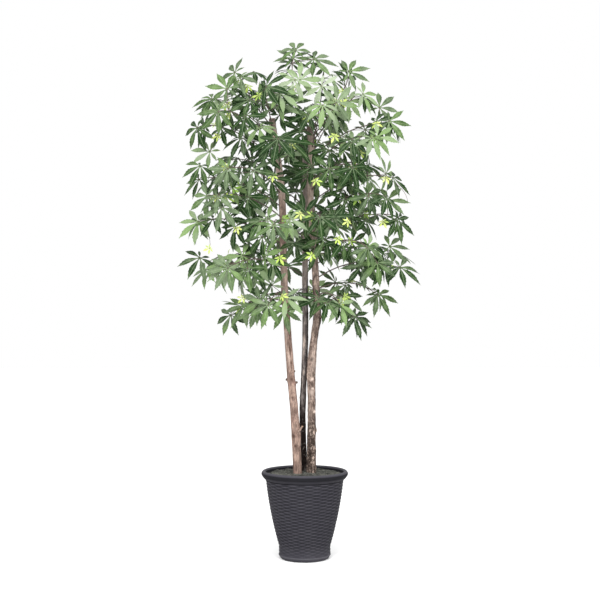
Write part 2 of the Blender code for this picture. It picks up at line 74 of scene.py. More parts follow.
# Planter: a round moulded pot with a foot, a bellied woven wall and a rolled rim.
POT_HEIGHT = 0.306
POT_RIM_RADIUS = 0.1532
POT_FOOT_RADIUS = 0.0911
POT_WALL_BOTTOM = 0.041
POT_WALL_TOP = 0.2715
POT_WALL_RADIUS_BOTTOM = 0.0905
POT_WALL_RADIUS_TOP = 0.1378
POT_BELLY = 0.0055
POT_THICKNESS = 0.0045
POT_FLOOR = 0.012
POT_STEPS = 240
INNER_HEIGHTS = (0.09, 0.148, 0.268)

# Its woven look: stakes stand round the wall, and each strand passes over one and under the next.
STAKES = 30
STRANDS = 46
STRAND_POINTS = 6
WEAVE_BOTTOM = 0.017
WEAVE_TOP = 0.2722
STRAND_ROUND = 0.0014
STRAND_WAVE = 0.0024
STAKE_HALF_WIDTH = 0.26
STAKE_FACE = -0.0022
STAKE_ROUND = 0.0022
WEAVE_SWAY = 0.0009
# Rings round the planter, from one height to another, of painted shade or, below 0, of painted highlight:
# shade in the dark line and band under the rim's roll and on the roll's lower part, highlight along the
# lip's top and along the foot's upper edge.
PAINTED_SHADE_AND_HIGHLIGHT_RINGS = (
    (0.2725, 0.2746, 1.0), (0.2746, 0.283, 0.45), (0.284, 0.3005, 0.85), (0.3022, 0.307, -0.22),
    (0.0125, 0.015, -0.35),
)

# The planter's round foot, the foot's upper end, the neck over the weave and the rim. Each is given
# by a radius, a height, and the points of its section, as steps out and up from there.
POT_SECTIONS = (
    (POT_FOOT_RADIUS, 0, ((-0.015, 0), (-0.0093, 0.00075), (-0.005, 0.0036), (-0.00165, 0.009))),
    (POT_FOOT_RADIUS, WEAVE_BOTTOM, ((0.0006, -0.004), (0.0006, -0.0022), (-0.0006, -0.0008))),
    (POT_WALL_RADIUS_TOP, WEAVE_TOP, (
        (-0.0022, 0.0006), (-0.0018, 0.0022), (0.0014, 0.003), (0.0048, 0.0062), (0.0085, 0.01),
    )),
    (POT_RIM_RADIUS, POT_HEIGHT, (
        (-0.0042, -0.02), (-0.003, -0.0185), (-0.0033, -0.0172), (-0.0012, -0.0155), (0, -0.012),
        (-0.0002, -0.0085), (-0.0016, -0.005), (-0.0046, -0.0016), (-0.0085, 0), (-0.0115, -0.0012),
        (-0.014, -0.0035), (-0.0155, -0.0075), (-0.0162, -0.012),
    )),
)

# Filling: moss lies over the filler round the trunks.
FILLER_TOP = 0.268
MOSS_TOP = 0.2955
MOSS_RADIUS = 0.1352
MOSS_EDGE = 0.008
MOSS_DOME = 0.006
MOSS_STEPS = 120
MOSS_RINGS = 34
MOSS_LUMPS = ((23.0, 0.005), (75.0, 0.0026), (210.0, 0.0013))
MOSS_SEED = 5
MOSS_STRANDS = 620
MOSS_STRAND_RUNS = 5
MOSS_STRAND_LIFT = 0.0022
MOSS_STRAND_CURL = 2.4
MOSS_STRAND_LENGTH = (0.012, 0.03)
MOSS_STRAND_RADIUS = (0.00028, 0.0005)

# Each trunk's centre line from its foot to its cut top, as x, y, z, and its radius there. The
# first stretch is inside the planter.
TRUNKS = {
    "left": (
        (-0.012, -0.008, 0.03, 0.0152), (-0.0247, -0.012, 0.3, 0.0152), (-0.0304, -0.013, 0.413, 0.0148),
        (-0.0371, -0.014, 0.525, 0.0141), (-0.0484, -0.014, 0.638, 0.0137),
        (-0.0568, -0.015, 0.75, 0.0126), (-0.0628, -0.015, 0.831, 0.0122),
        (-0.0717, -0.016, 0.949, 0.0121), (-0.0762, -0.016, 1.095, 0.0121),
        (-0.0772, -0.017, 1.206, 0.012), (-0.0844, -0.018, 1.331, 0.012), (-0.095, -0.019, 1.402, 0.0119),
        (-0.1112, -0.02, 1.507, 0.0119), (-0.116, -0.02, 1.554, 0.0117),
    ),
    "right": (
        (0.02, -0.006, 0.03, 0.0168), (0.0233, -0.008, 0.3, 0.0168), (0.024, -0.009, 0.441, 0.0145),
        (0.0251, -0.01, 0.554, 0.0132), (0.0261, -0.01, 0.666, 0.0128), (0.0307, -0.011, 0.75, 0.0127),
        (0.0399, -0.012, 0.815, 0.0128), (0.0452, -0.012, 0.845, 0.0138), (0.0434, -0.012, 0.891, 0.0124),
        (0.0395, -0.012, 0.978, 0.0122), (0.0346, -0.012, 1.068, 0.0118), (0.0251, -0.013, 1.183, 0.0114),
        (0.0198, -0.013, 1.28, 0.011), (0.0222, -0.014, 1.361, 0.0108), (0.0251, -0.014, 1.449, 0.0105),
        (0.0162, -0.014, 1.525, 0.0103),
    ),
    "middle": (
        (0.0, 0.034, 0.03, 0.011), (-0.0015, 0.036, 0.3, 0.011), (-0.0053, 0.037, 0.413, 0.0104),
        (-0.0067, 0.038, 0.497, 0.0101), (-0.0042, 0.039, 0.581, 0.01), (-0.0004, 0.04, 0.666, 0.0102),
        (0.0025, 0.041, 0.75, 0.0105), (0.0028, 0.042, 0.861, 0.0105), (0.0018, 0.043, 0.949, 0.0103),
        (0.0018, 0.044, 1.095, 0.0102), (0.0056, 0.044, 1.183, 0.01), (0.004, 0.045, 1.3, 0.0098),
        (0.002, 0.045, 1.43, 0.0095),
    ),
}
TRUNK_SIDES = 8
BARK_LOBES = ((2, 0.045, 1.0), (3, 0.03, 2.0))

# Stubs of cut side shoots: height, direction round the trunk in degrees, length, radius, how much
# they point upwards, and 1 for those that end in a dark knob.
STUBS = {
    "left": (
        (0.624, 176, 0.007, 0.004, 0.15, 1), (0.612, -14, 0.008, 0.004, 0.25, 1),
        (0.429, -48, 0.035, 0.0038, 1.0, 0), (0.656, -8, 0.0032, 0.0036, 0, 1),
    ),
    "right": ((0.447, -12, 0.0045, 0.0052, 0, 0), (0.84, -14, 0.0058, 0.0068, 0.7, 1)),
    "middle": ((0.56, 200, 0.004, 0.0032, 0, 0),),
}
STUB_TAPER = (1.25, 0.8)
# A stub starts this share of the trunk's radius away from its middle.
STUB_ROOT = 0.3
KNOB_TINT = 0.95
STUB_TINT = -0.1
STUB_ROUGH = 0.22
STUB_GRAIN = 420

# Sprays: height on the trunk, direction in degrees (0 right, 90 back, 180 left, 270 front),
# reach from the trunk, rise from the hole to the tip, and the number of grown leaves.
SPRAYS = {
    "left": (
        (0.905, 178, 0.165, -0.03, 4), (0.93, 250, 0.13, -0.03, 4), (0.985, 170, 0.265, 0.045, 6),
        (1.02, 222, 0.22, 0.0, 5), (1.06, 140, 0.24, 0.01, 5), (1.11, 184, 0.275, 0.08, 6),
        (1.15, 258, 0.19, 0.01, 4), (1.205, 205, 0.255, 0.06, 5), (1.245, 174, 0.265, 0.1, 6),
        (1.29, 232, 0.22, 0.06, 5), (1.335, 138, 0.255, 0.1, 5), (1.37, 272, 0.18, 0.08, 4),
        (1.41, 182, 0.255, 0.12, 5), (1.45, 222, 0.215, 0.1, 5), (1.49, 166, 0.185, 0.14, 5),
        (1.515, 258, 0.15, 0.1, 4), (1.537, 190, 0.11, 0.165, 4),
    ),
    "right": (
        (0.895, 352, 0.11, -0.03, 3), (0.925, 300, 0.12, -0.02, 4), (0.95, 6, 0.19, -0.005, 4),
        (0.99, 348, 0.265, 0.035, 5), (1.04, 12, 0.255, 0.05, 5), (1.075, 318, 0.215, 0.02, 5),
        (1.125, 0, 0.275, 0.085, 5), (1.165, 280, 0.185, 0.02, 4), (1.205, 330, 0.255, 0.06, 5),
        (1.26, 354, 0.255, 0.085, 6), (1.3, 302, 0.215, 0.06, 5), (1.34, 40, 0.25, 0.08, 5),
        (1.385, 325, 0.225, 0.08, 5), (1.425, 2, 0.26, 0.115, 5), (1.455, 285, 0.16, 0.11, 4),
        (1.478, 340, 0.15, 0.15, 4), (1.495, 8, 0.125, 0.195, 4), (1.508, 55, 0.075, 0.23, 3),
        (1.512, 186, 0.05, 0.248, 4),
    ),
    "middle": (
        (0.93, 98, 0.21, 0.0, 4), (1.0, 142, 0.27, 0.025, 5), (1.05, 40, 0.29, 0.025, 5),
        (1.12, 102, 0.29, 0.04, 5), (1.19, 58, 0.3, 0.06, 5), (1.25, 130, 0.28, 0.08, 5),
        (1.32, 82, 0.26, 0.1, 5), (1.37, 118, 0.22, 0.15, 5), (1.405, 60, 0.18, 0.2, 4),
    ),
}
SEED = 57
STEM_ROOT_RADIUS = 0.0024
STEM_TIP_RADIUS = 0.0016
STEM_RUNS = 4
STEM_PLUG = 0.0075
STEM_STRAIGHT = 0.005
STEM_BOW = 0.12
STEM_SWAY = 0.018
STEEPEST = 1.1

# Where leaves sit along a stem, as shares of its length, and how far their stalks turn from it.
TIP_PLACE = 0.985
FIRST_LEAF, LAST_LEAF = 0.32, 0.88
YOUNG_PLACE = (0.45, 0.95)
STALK_TURN = (38, 66)
TIP_TURN = 14
TIP_STALK_LENGTH = (0.019, 0.031)
STALK_RISE = (-0.15, 0.4)
STALK_ROOT_SHARE = 0.45
STALK_FREE_SHARE = 0.8

# The two kinds of leaves: their leaflets, at these angles from the middle one and each with its share
# of the length, two small ones at the back that only the fine leaves have, the range of their length,
# their bend in degrees, their stalk's length and how much they hang; the radius of their hub, the
# size of its button, a leaflet's width as a share of the usual one, their stalk's radius, and the
# index of the stalk's and the button's finish.
GROWN = {
    "leaflets": ((-92, 0.84), (-46, 0.97), (0, 1.04), (46, 0.97), (92, 0.84)),
    "back": ((-141, 0.52), (141, 0.52)),
    "length": (0.078, 0.093), "bend": (10, 38), "stalk": (0.036, 0.064), "hang": (0.15, 0.8),
    "hub": 0.006, "button": 0.003, "width": 1.0, "stalk_radius": 0.001, "finishes": (0, 2),
}
YOUNG = {
    "leaflets": ((-112, 0.7), (-58, 0.92), (0, 1.1), (58, 0.92), (112, 0.7)),
    "back": ((-155, 0.5), (155, 0.5)),
    "length": (0.023, 0.03), "bend": (5, 19), "stalk": (0.026, 0.046), "hang": (0.06, 0.32),
    "hub": 0.0048, "button": 0.00165, "width": 1.25, "stalk_radius": 0.0007, "finishes": (1, 1),
}
LEAFLET_WIDTH = 0.15
LEAFLET_WIDEST = 0.54
LEAF_FOLD = 0.2
LEAF_HALF_THICKNESS = 0.0012
HUB_BACK = (0.0012, -0.0017)
# How far each leaflet's angle and bend, in degrees, and the share of its length stray.
ANGLE_OFF = (-4, 4)
BEND_OFF = (-4, 6)
LENGTH_OFF = (0.94, 1.06)
BACK_ANGLE_OFF = (-6, 6)
BACK_LENGTH_OFF = (0.85, 1.15)

# How leaves are held: they look up, outward and, on the near half, towards the viewer.
LEAF_DROOP = (0, 14)
FACE_UP = 0.42
FACE_OUT = 0.34
FACE_VIEWER = 0.8
FACE_SCATTER = 0.34
NEAR_HALF = (0.16, 0.2)
# A leaf's middle leaflet goes on in its stalk's direction by this share, and its stalk bends towards
# the leaflet by the second one.
GOES_ON = 0.9
STALK_BENDS = 0.7
LEAST_AHEAD = 0.1
LEAST_ROUND = 0.42
ROUND_WAY = (0.58, 0.82)
CENTRAL = 0.02

# Finding room: each leaf is tried in a few positions until it is clear of all others.
PLACING_TRIES = 14
TRY_SPREAD = 0.12
TURN_SPREAD = 0.4 * TRY_SPREAD
CLEARANCE = 0.0009
LEAF_REACH = 0.28
CROWN_RINGS = [0.6 + 0.03 * k for k in range(34)]

# Bark: sides round a trunk, and the cuts that make its rings, in two goes.
BARK_SIDES = 40
BARK_CUTS = (19, 19)
BARK_SMOOTH = 0.018
CUT_ROUND = 0.0012
# How far knots and tints reach, in their own half-sizes, and how high the collar round a scar is.
KNOT_REACH = 2.5
TINT_REACH = 2.0
KNOT_COLLAR = 0.0006

# Each kind of bark: depth of its long ridges, of its warts and of its pits, in metres.
BARKS = {
    "left": (0.0006, 0.00055, 0.0004),
    "right": (0.0011, 0.0011, 0.0008),
    "middle": (0.0012, 0.0005, 0.0004),
}
# Darker and paler stretches: height, direction in degrees, half-height, half-width (or None for all
# the way round) and how much darker, or paler if it is below 0.
# Of these, the rings all the way round from 0.9 m up are painted: the darker ones are painted shade under
# the leaves and the paler ones painted light against the leaves' shadow. The long narrow darker stretches
# down a trunk's left and right sides as seen, round 185 to 206 and 328 to 360 degrees (0 counts as 360), are
# painted shade along its edges.
TINTS = {
    "left": (
        (0.8, 300, 0.03, 0.005, 0.7), (0.795, 235, 0.04, 0.01, -0.32), (0.735, 288, 0.04, 0.0022, 0.9),
        (0.672, 286, 0.016, 0.0022, 0.8), (0.645, 270, 0.02, None, 0.15), (0.345, 320, 0.05, 0.006, 0.35),
        (0.86, 205, 0.05, 0.004, 0.9), (0.7, 190, 0.12, 0.005, 0.45), (0.52, 185, 0.1, 0.005, 0.4),
        (0.69, 0, 0.11, 0.005, 0.45), (0.7, 255, 0.04, 0.004, -0.3), (1.15, 270, 0.08, None, 0.2),
        (1.43, 270, 0.13, None, -0.5), (0.428, 232, 0.0075, 0.0075, 1.1), (1.1, 270, 0.2, None, -0.25),
    ),
    "right": (
        (0.629, 277, 0.0027, 0.005, -0.95), (0.624, 262, 0.003, 0.004, -0.6),
        (0.595, 279, 0.0029, 0.005, -0.95), (0.582, 268, 0.01, 0.007, -0.4),
        (0.367, 261, 0.008, 0.005, 0.95), (0.387, 262, 0.004, 0.004, -0.6),
        (0.4325, 262, 0.005, 0.003, -0.7), (0.465, 290, 0.005, 0.0035, -0.6),
        (0.45, 345, 0.028, 0.005, 0.9), (0.408, 205, 0.02, 0.0045, 0.8), (0.445, 280, 0.01, 0.0045, 0.5),
        (0.41, 278, 0.012, 0.003, 0.7), (0.35, 235, 0.018, 0.004, 0.7), (0.395, 300, 0.018, 0.0025, 0.7),
        (0.48, 245, 0.012, 0.004, 0.5), (0.514, 325, 0.0055, 0.0062, -1.5),
        (0.612, 290, 0.007, 0.008, 0.35), (0.646, 285, 0.008, 0.009, 0.5), (0.42, 270, 0.1, None, 0.35),
        (0.345, 200, 0.05, 0.008, 0.5), (0.54, 350, 0.1, 0.005, 0.75), (0.76, 355, 0.06, 0.006, 0.55),
        (0.7, 285, 0.05, 0.006, -0.22), (0.345, 290, 0.045, 0.006, -0.35), (1.18, 270, 0.14, None, -0.22),
        (1.41, 270, 0.11, None, -0.35), (0.846, 328, 0.012, 0.007, 1.8), (0.805, 335, 0.045, 0.006, 1.6),
        (0.9, 206, 0.05, 0.005, 1.5), (0.9, 332, 0.045, 0.005, 1.5), (0.905, 270, 0.06, None, 0.3),
        (0.868, 272, 0.006, 0.005, -0.6),
    ),
    "middle": (
        (0.4, 270, 0.14, None, 1.0), (0.72, 345, 0.17, 0.0105, 1.0), (0.6, 200, 0.08, 0.004, 0.7),
        (0.76, 250, 0.02, 0.005, -0.5), (0.65, 262, 0.01, 0.004, -0.5), (0.73, 265, 0.02, 0.006, -0.1),
        (0.655, 270, 0.03, None, 0.2), (1.18, 270, 0.24, None, -0.3), (0.88, 335, 0.09, 0.005, 1.2),
        (0.925, 270, 0.025, None, 0.3), (0.69, 248, 0.13, 0.0062, -0.26),
    ),
}
# Knots and scars: height, direction in degrees, half-height, half-width and rise (or depth).
KNOTS = {
    "left": (
        (0.735, 285, 0.022, 0.0045, -0.0012), (0.685, 290, 0.01, 0.0045, -0.0016),
        (0.628, 275, 0.008, 0.006, -0.0015), (0.624, 176, 0.01, 0.008, 0.0022),
        (0.612, -14, 0.01, 0.008, 0.002), (0.563, 265, 0.006, 0.006, -0.0014),
        (0.438, -8, 0.036, 0.013, 0.0036), (0.427, 231, 0.0095, 0.008, -0.0007),
        (0.393, 255, 0.007, 0.006, -0.0015), (1.16, 280, 0.012, 0.008, 0.0018),
        (1.395, 290, 0.01, 0.006, -0.0012), (0.86, 60, 0.011, 0.007, 0.0018),
        (0.52, 110, 0.009, 0.007, -0.0015),
    ),
    "right": (
        (0.838, -8, 0.018, 0.01, 0.003), (0.698, 262, 0.0085, 0.0078, -0.0022),
        (0.655, 182, 0.088, 0.014, 0.0062), (0.447, -12, 0.015, 0.009, 0.003),
        (0.514, -30, 0.006, 0.006, 0.001), (0.372, 265, 0.01, 0.008, 0.0015),
        (0.64, 300, 0.016, 0.008, 0.0012), (0.78, 100, 0.012, 0.008, 0.0022),
        (0.56, 75, 0.008, 0.006, -0.0015), (1.03, 270, 0.013, 0.008, 0.0018),
        (1.24, 200, 0.01, 0.007, 0.0016),
    ),
    "middle": (
        (0.55, 180, 0.12, 0.012, 0.002), (0.56, 200, 0.01, 0.007, 0.002),
        (0.715, 250, 0.012, 0.007, 0.0018), (0.47, 90, 0.01, 0.007, 0.0016),
        (0.9, 110, 0.012, 0.007, 0.0018),
    ),
}

# The leaflet that every leaf is made of, 1 long: rows and columns of faces, how its outline
# swells and narrows, its toothed edge, and its sheet's thickness.
FINE_SEED = 7
LEAFLET_ROWS = 8
LEAFLET_COLUMNS = 4
LEAFLET_BASE = 0.27
LEAFLET_SWELL = (1.15, 1.2, 1.6)
FINE_WIDTH = 0.111
TOOTH_OUT = 1.15
TOOTH_FORWARD = 0.026
TOOTHED_FROM = 0.2
LEAF_SHEET = 0.0055
LEAF_PUCKER = 0.01
LEAF_SWEEP = 0.055
LEAF_TWIST = 0.25
LEAF_RIPPLE = 0.012
RIPPLE_SHARE = (0.3, 1.0)
RIPPLE_PHASE = (0, 6.28)
RIPPLES = 9

# The button in the middle of a leaf: heights and widths of its rings.
HUB_HEIGHTS = (-0.55, -0.35, 0.1, 0.42, 0.55)
HUB_WIDTHS = (0.35, 0.9, 1.0, 0.62, 0.15)

# Stems and stalks are wrapped wire. Each stalk leaves its stem in a small collar.
STEM_POINTS = 14
STALK_POINTS = 7
STALK_COLLAR = 1.9
STALK_NECK = 1.25
STALK_CURVE = 0.22
STALK_LEAVES = 0.5
STALK_ARRIVES = 0.45
STALK_END = (0, -0.0006, -0.0008)
# A bare twig that goes on from the tip of one spray, as three further points.
BARE_TWIG = (
    "spray_right_10", (0.325, -0.05, 1.315), (0.36, -0.052, 1.29), (0.362, -0.052, 1.252),
)
TWIG_POINTS = 12

# Leaves that are seen one by one round the crown: x and z where their hub is seen on the middle
# plane, how far behind that plane it is, the way they point as seen in degrees (0 right, 90 up),
# how much they look up, and how pale they are, which also holds painted light and shade for how
# brightly each one is lit.
SEEN_LEAVES = (
    (-0.033, 1.806, 0.02, 105, 0.4, 0.45), (0.033, 1.774, -0.02, -5, 0.6, 0.45),
    (0.158, 1.729, 0.0, 25, 0.4, 0.5), (-0.035, 1.698, -0.05, 250, 0.1, 1.45),
    (0.06, 1.677, -0.06, 300, 0.1, 1.55), (-0.278, 1.667, -0.04, 115, 0.3, 0.55),
    # These two are painted darker, as painted shade against the light on their upturned faces.
    (-0.228, 1.734, 0.02, 300, 2.2, -0.3), (-0.183, 1.729, 0.04, 300, 2.2, -0.3),
    (0.268, 1.598, 0.0, 45, 0.3, 0.5), (0.303, 1.55, -0.05, -50, 0.2, 0.5),
    (-0.332, 1.63, 0.0, 190, 0.7, 0.25), (-0.339, 1.44, -0.05, 165, 0.4, 0.95),
    (-0.373, 1.389, 0.0, 245, 0.6, 0.2), (-0.373, 1.059, 0.0, 240, 0.5, 0.2),
    (0.259, 1.041, -0.08, -85, 0.2, 0.45), (0.34, 1.023, 0.02, -60, 1.8, 0.05),
    (0.303, 1.099, 0.03, 10, 0.6, 0.45), (-0.173, 0.879, -0.06, 255, 0.1, 0.5),
    (0.16, 0.865, -0.05, 268, 0.1, 0.7), (-0.073, 0.872, -0.05, 285, 0.3, 0.45),
    (-0.076, 1.196, -0.16, 190, 0.3, 0.35), (-0.034, 1.113, -0.08, 285, 0.3, 0.1),
    (0.074, 1.126, -0.1, 240, 0.3, 0.15), (0.236, 1.12, -0.06, 300, 0.3, 0.3),
    (-0.151, 1.134, -0.08, 230, 0.3, 0.15), (-0.296, 1.239, -0.08, 255, 0.2, 0.5),
    (0.296, 1.265, 0.0, 55, 0.6, 0.5),
)
# Young leaves that stand out: x and z as above, and how far behind the middle plane.
SEEN_YOUNG = (
    (-0.238, 1.688, -0.09), (-0.204, 1.677, -0.07), (-0.285, 1.609, -0.1), (-0.31, 1.497, -0.08),
    (0.134, 1.657, -0.1), (0.107, 1.626, -0.12), (0.259, 1.541, -0.1), (0.199, 1.436, -0.16),
    (0.107, 1.497, -0.19), (-0.113, 1.354, -0.21), (0.04, 1.336, -0.19), (-0.326, 1.278, -0.09),
    (-0.278, 1.275, -0.14), (-0.015, 1.217, -0.18), (0.154, 1.189, -0.22), (-0.241, 1.165, -0.18),
    (0.28, 1.189, -0.1), (0.118, 1.128, -0.22), (-0.339, 1.093, -0.07), (-0.089, 1.059, -0.19),
    (0.026, 1.067, -0.18), (0.308, 1.027, -0.07), (-0.221, 0.916, -0.1), (0.134, 0.908, -0.14),
)
# Where along its stem such a leaf may be rooted, how many roots are tried, and by how much its
# place then moves to and fro in depth.
SEEN_ROOTS = (0.985, 0.92, 0.85, 0.77, 0.68, 0.58, 0.46)
SEEN_CHOICES = 6
SEEN_STEP = 0.008

# Leaves that fill the crown between the others, for each spray: how many are tried and where along
# the stem, for the outer and the inner part.
MORE_SEED = 108
MORE_OUTER = (1, 0.35, 0.97)
MORE_INNER = (3, 0.08, 0.5)
MORE_LOOSE = 1.7
# Sprays get one leaf less of each kind below each of these heights. All lift theirs by up to this much.
FEWER_BELOW = (1.36, 0.97)
LIFTED = 1.2
# Stretches of trunk that are seen through the crown, from one height to another: no filling leaf
# lies before them, or within this distance beside them.
SEEN_TRUNKS = (
    ("left", 1.39, 1.56), ("left", 1.27, 1.32), ("right", 1.3, 1.5), ("right", 1.14, 1.28),
)
SEEN_BESIDE = 0.045

# How dark or pale leaves are: most are between dark at 0 and pale at 1, and a few above 1 are faded.
TONE_USUAL = (-0.5, 0.22)
TONE_PALE = (0.6, 1.1)
TONE_SPREAD = 0.2
MOST_TONE = 1.7
PALE_SHARE = 0.26
# Painted light on the leaves: they get paler from the first to the second distance from the middle,
# and from the first to the second height, by up to the last number, so those inside the crown keep
# painted shade. The lowest ones get painted light too.
PAINTED_LIGHT_OUT = (0.17, 0.4, 0.46)
PAINTED_LIGHT_UP = (1.45, 1.75, 0.24)
PAINTED_LIGHT_DOWN = (1.1, 0.88, 0.34)
PALEST = 1.05
# Leaves whose tone is set, by spray and number.
SET_TONES = {
    ("spray_right_02", 1): 0.15, ("spray_right_02", 3): 0.0, ("spray_right_04", 0): 0.2,
    ("spray_right_03", 0): 0.5, ("spray_right_03", 1): 0.4,
}

# Camera, light and floor.
CAMERA_PLACE = (-0.0166, -3.5, 0.78)
CAMERA_TILT = radians(92.1)
CAMERA_LENS = 59.04
SENSOR = 36.0
FLOOR_SIZE = 40.0

# Patterns of bark: stretch along the trunk, size, detail, roughness and twist of its streaks,
# cracks, patches and flecks.
BARK_PATTERNS = (
    (0.13, 190.0, 5.0, 0.62, 0.4), (0.22, 120.0, 3.0, 0.6, 1.2), (0.55, 30.0, 4.0, 0.65, 0.8),
    (0.6, 105.0, 3.0, 0.6, 1.0),
)
VEIN_PAIRS = 9.0
BARK_SLOTS = {"left": "bark_pink_brown", "right": "bark_tan", "middle": "bark_dark"}

# Bark: its name, its base, light, dark and crack colours, the pattern's shift, and the height below
# which it is scaly.
BARK_COLOURS = {
    "left": (
        "pink_brown_bark", (0.272, 0.174, 0.142), (0.415, 0.292, 0.236), (0.102, 0.073, 0.062),
        (0.074, 0.041, 0.031), 0.0,
    ),
    "right": (
        "tan_bark", (0.195, 0.137, 0.115), (0.42, 0.32, 0.265), (0.058, 0.042, 0.035),
        (0.018, 0.012, 0.009), 3.7, 0.49,
    ),
    "middle": (
        "dark_bark", (0.165, 0.143, 0.14), (0.28, 0.245, 0.23), (0.014, 0.009, 0.008),
        (0.006, 0.004, 0.003), 7.9,
    ),
}
LEAF_COLOURS = {
    "face": ((0.007, 0.028, 0.004), (0.2, 0.27, 0.152), (0.29, 0.36, 0.22)),
    "back": ((0.048, 0.08, 0.036), (0.235, 0.3, 0.192), (0.32, 0.38, 0.26)),
    "young": ((0.2, 0.32, 0.06), (0.54, 0.61, 0.19), (0.61, 0.66, 0.32)),
}
FADED = (0.45, 0.49, 0.4)
# Plain stuffs: size of the pattern, three colours, strength of the grains, roughness, shine, the
# bump's strength and depth, and how much the roughness varies.
STUFFS = {
    "dried_moss": (
        42.0, (0.008, 0.01, 0.008), (0.053, 0.057, 0.048), (0.116, 0.116, 0.102), 0.6, 0.95, 0.15,
        (0.9, 0.003),
    ),
    "dried_moss_strands": (
        42.0, (0.09, 0.092, 0.076), (0.21, 0.21, 0.185), (0.3, 0.298, 0.265), 0.6, 0.95, 0.15,
        (0.9, 0.003),
    ),
    "cast_mortar": (
        45.0, (0.42, 0.4, 0.37), (0.3, 0.29, 0.27), (0.3, 0.29, 0.27), 0.4, 0.92, 0.2, (0.6, 0.002),
    ),
    "pressed_board": (
        60.0, (0.55, 0.5, 0.4), (0.4, 0.36, 0.28), (0.4, 0.36, 0.28), 0.4, 0.92, 0.2, (0.6, 0.002),
    ),
    "wrapped_stem": (
        90.0, (0.12, 0.085, 0.07), (0.06, 0.045, 0.04), (0.06, 0.045, 0.04), 0.4, 0.62, 0.3,
        (0.4, 0.0006), 0.2,
    ),
    "wrapped_young_stalk": (
        90.0, (0.4, 0.42, 0.13), (0.28, 0.27, 0.1), (0.28, 0.27, 0.1), 0.4, 0.62, 0.3,
        (0.4, 0.0006), 0.2,
    ),
    "leaf_hub": (
        90.0, (0.1, 0.16, 0.06), (0.07, 0.09, 0.04), (0.07, 0.09, 0.04), 0.4, 0.5, 0.3,
        (0.4, 0.0006), 0.2,
    ),
}
WORLD_LIGHT = 1.0
# Soft lights: name, place, size and power in watts.
SOFT_LIGHTS = (
    ("key light", (-1.5, -4.5, 3.6), 2.4, 165),
    ("fill light", (1.9, -4.5, 2.6), 2.4, 105),
)
LIT_PLACE = (0, 0, 0.95)
# Soft light from high up in front, the same all over the floor: its direction, strength and size.
HIGH_LIGHT = ((-0.12, 0.45, -1.0), 1.1, 0.9)


# Helpers for modelling as by hand.


def choose(*chosen):
    """Makes these the only selected objects, and the first of them active."""
    for obj in bpy.context.selected_objects:
        obj.select_set(False)
    for obj in chosen:
        obj.select_set(True)
    if chosen:
        bpy.context.view_layer.objects.active = chosen[0]


def linked(name, data):
    """A new object in the scene."""
    obj = bpy.data.objects.new(name, data)
    bpy.context.scene.collection.objects.link(obj)
    return obj


def dress(obj, *finishes):
    for finish in finishes:
        obj.data.materials.append(finish)


def select_all(on=True):
    bpy.ops.mesh.select_all(action="SELECT" if on else "DESELECT")


def give_values(obj, name, values):
    """Puts a value on each point of an object, for its material to read."""
    obj.data.attributes.new(name, "FLOAT", "POINT").data.foreach_set("value", values)


def move(x, y, z):
    bpy.ops.transform.translate(value=(x, y, z))


def level_way(angle, up=0):
    """The level direction at an angle, lifted by a share."""
    return Vector((cos(angle), sin(angle), up))


def begin(obj):
    """Makes obj the only selected and active object, in edit mode with nothing selected in it."""
    choose(obj)
    bpy.ops.object.mode_set(mode="EDIT")
    select_all(False)


def end():
    bpy.ops.object.mode_set(mode="OBJECT")


def added(name, add, **settings):
    """A new primitive with its place applied to its mesh."""
    choose()
    add(**settings)
    obj = bpy.context.object
    obj.name = obj.data.name = name
    bpy.ops.object.transform_apply(location=True, rotation=True, scale=True)
    return obj


def pick(obj, kind, test):
    """In edit mode, selects the vertices, edges or faces of obj that pass the test, which is given
    the middle of each and the part itself. Returns how many were found."""
    select_all(False)
    bpy.ops.mesh.select_mode(type=kind)
    body = bmesh.from_edit_mesh(obj.data)
    parts = {"VERT": body.verts, "EDGE": body.edges, "FACE": body.faces}[kind]
    found = 0
    for part in parts:
        corners = [part] if kind == "VERT" else list(part.verts)
        middle = sum((corner.co for corner in corners), Vector()) / len(corners)
        if test(middle, part):
            part.select_set(True)
            found += 1
    body.select_flush_mode()
    bmesh.update_edit_mesh(obj.data)
    return found


def read_points(mesh):
    points = np.empty(len(mesh.vertices) * 3)
    mesh.vertices.foreach_get("co", points)
    return points.reshape(-1, 3)


def write_points(mesh, points):
    mesh.vertices.foreach_set("co", np.ascontiguousarray(points, dtype=np.float32).ravel())
    mesh.update()


def smooth_finish(obj, angle=42):
    """Smooth shading with creases where faces meet at more than this angle, in degrees."""
    obj.data.shade_smooth()
    obj.data.set_sharp_from_angle(angle=radians(angle))


def joined(pieces, name):
    """Joins objects into the first of them."""
    choose(*pieces)
    if len(pieces) > 1:
        bpy.ops.object.join()
    pieces[0].name = pieces[0].data.name = name
    return pieces[0]


def stands_for(obj, slot, *nodes):
    """The finished piece rides on the model and stands for these of its nodes."""
    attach(obj, "root")
    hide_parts(*nodes)


def spun(name, profile, steps):
    """A closed round piece, spun in edit mode from (radius, height) points."""
    mesh = bpy.data.meshes.new(name)
    edges = [(k, k + 1) for k in range(len(profile) - 1)]
    mesh.from_pydata([(radius, 0, z) for radius, z in profile], edges, [])
    obj = linked(name, mesh)
    begin(obj)
    select_all()
    bpy.ops.mesh.spin(steps=steps, angle=2 * pi, center=(0, 0, 0), axis=(0, 0, 1))
    select_all()
    bpy.ops.mesh.remove_doubles(threshold=1e-6)
    select_all(False)
    bpy.ops.mesh.select_non_manifold()
    bpy.ops.mesh.edge_face_add()
    select_all()
    bpy.ops.mesh.normals_make_consistent(inside=False)
    end()
    return obj


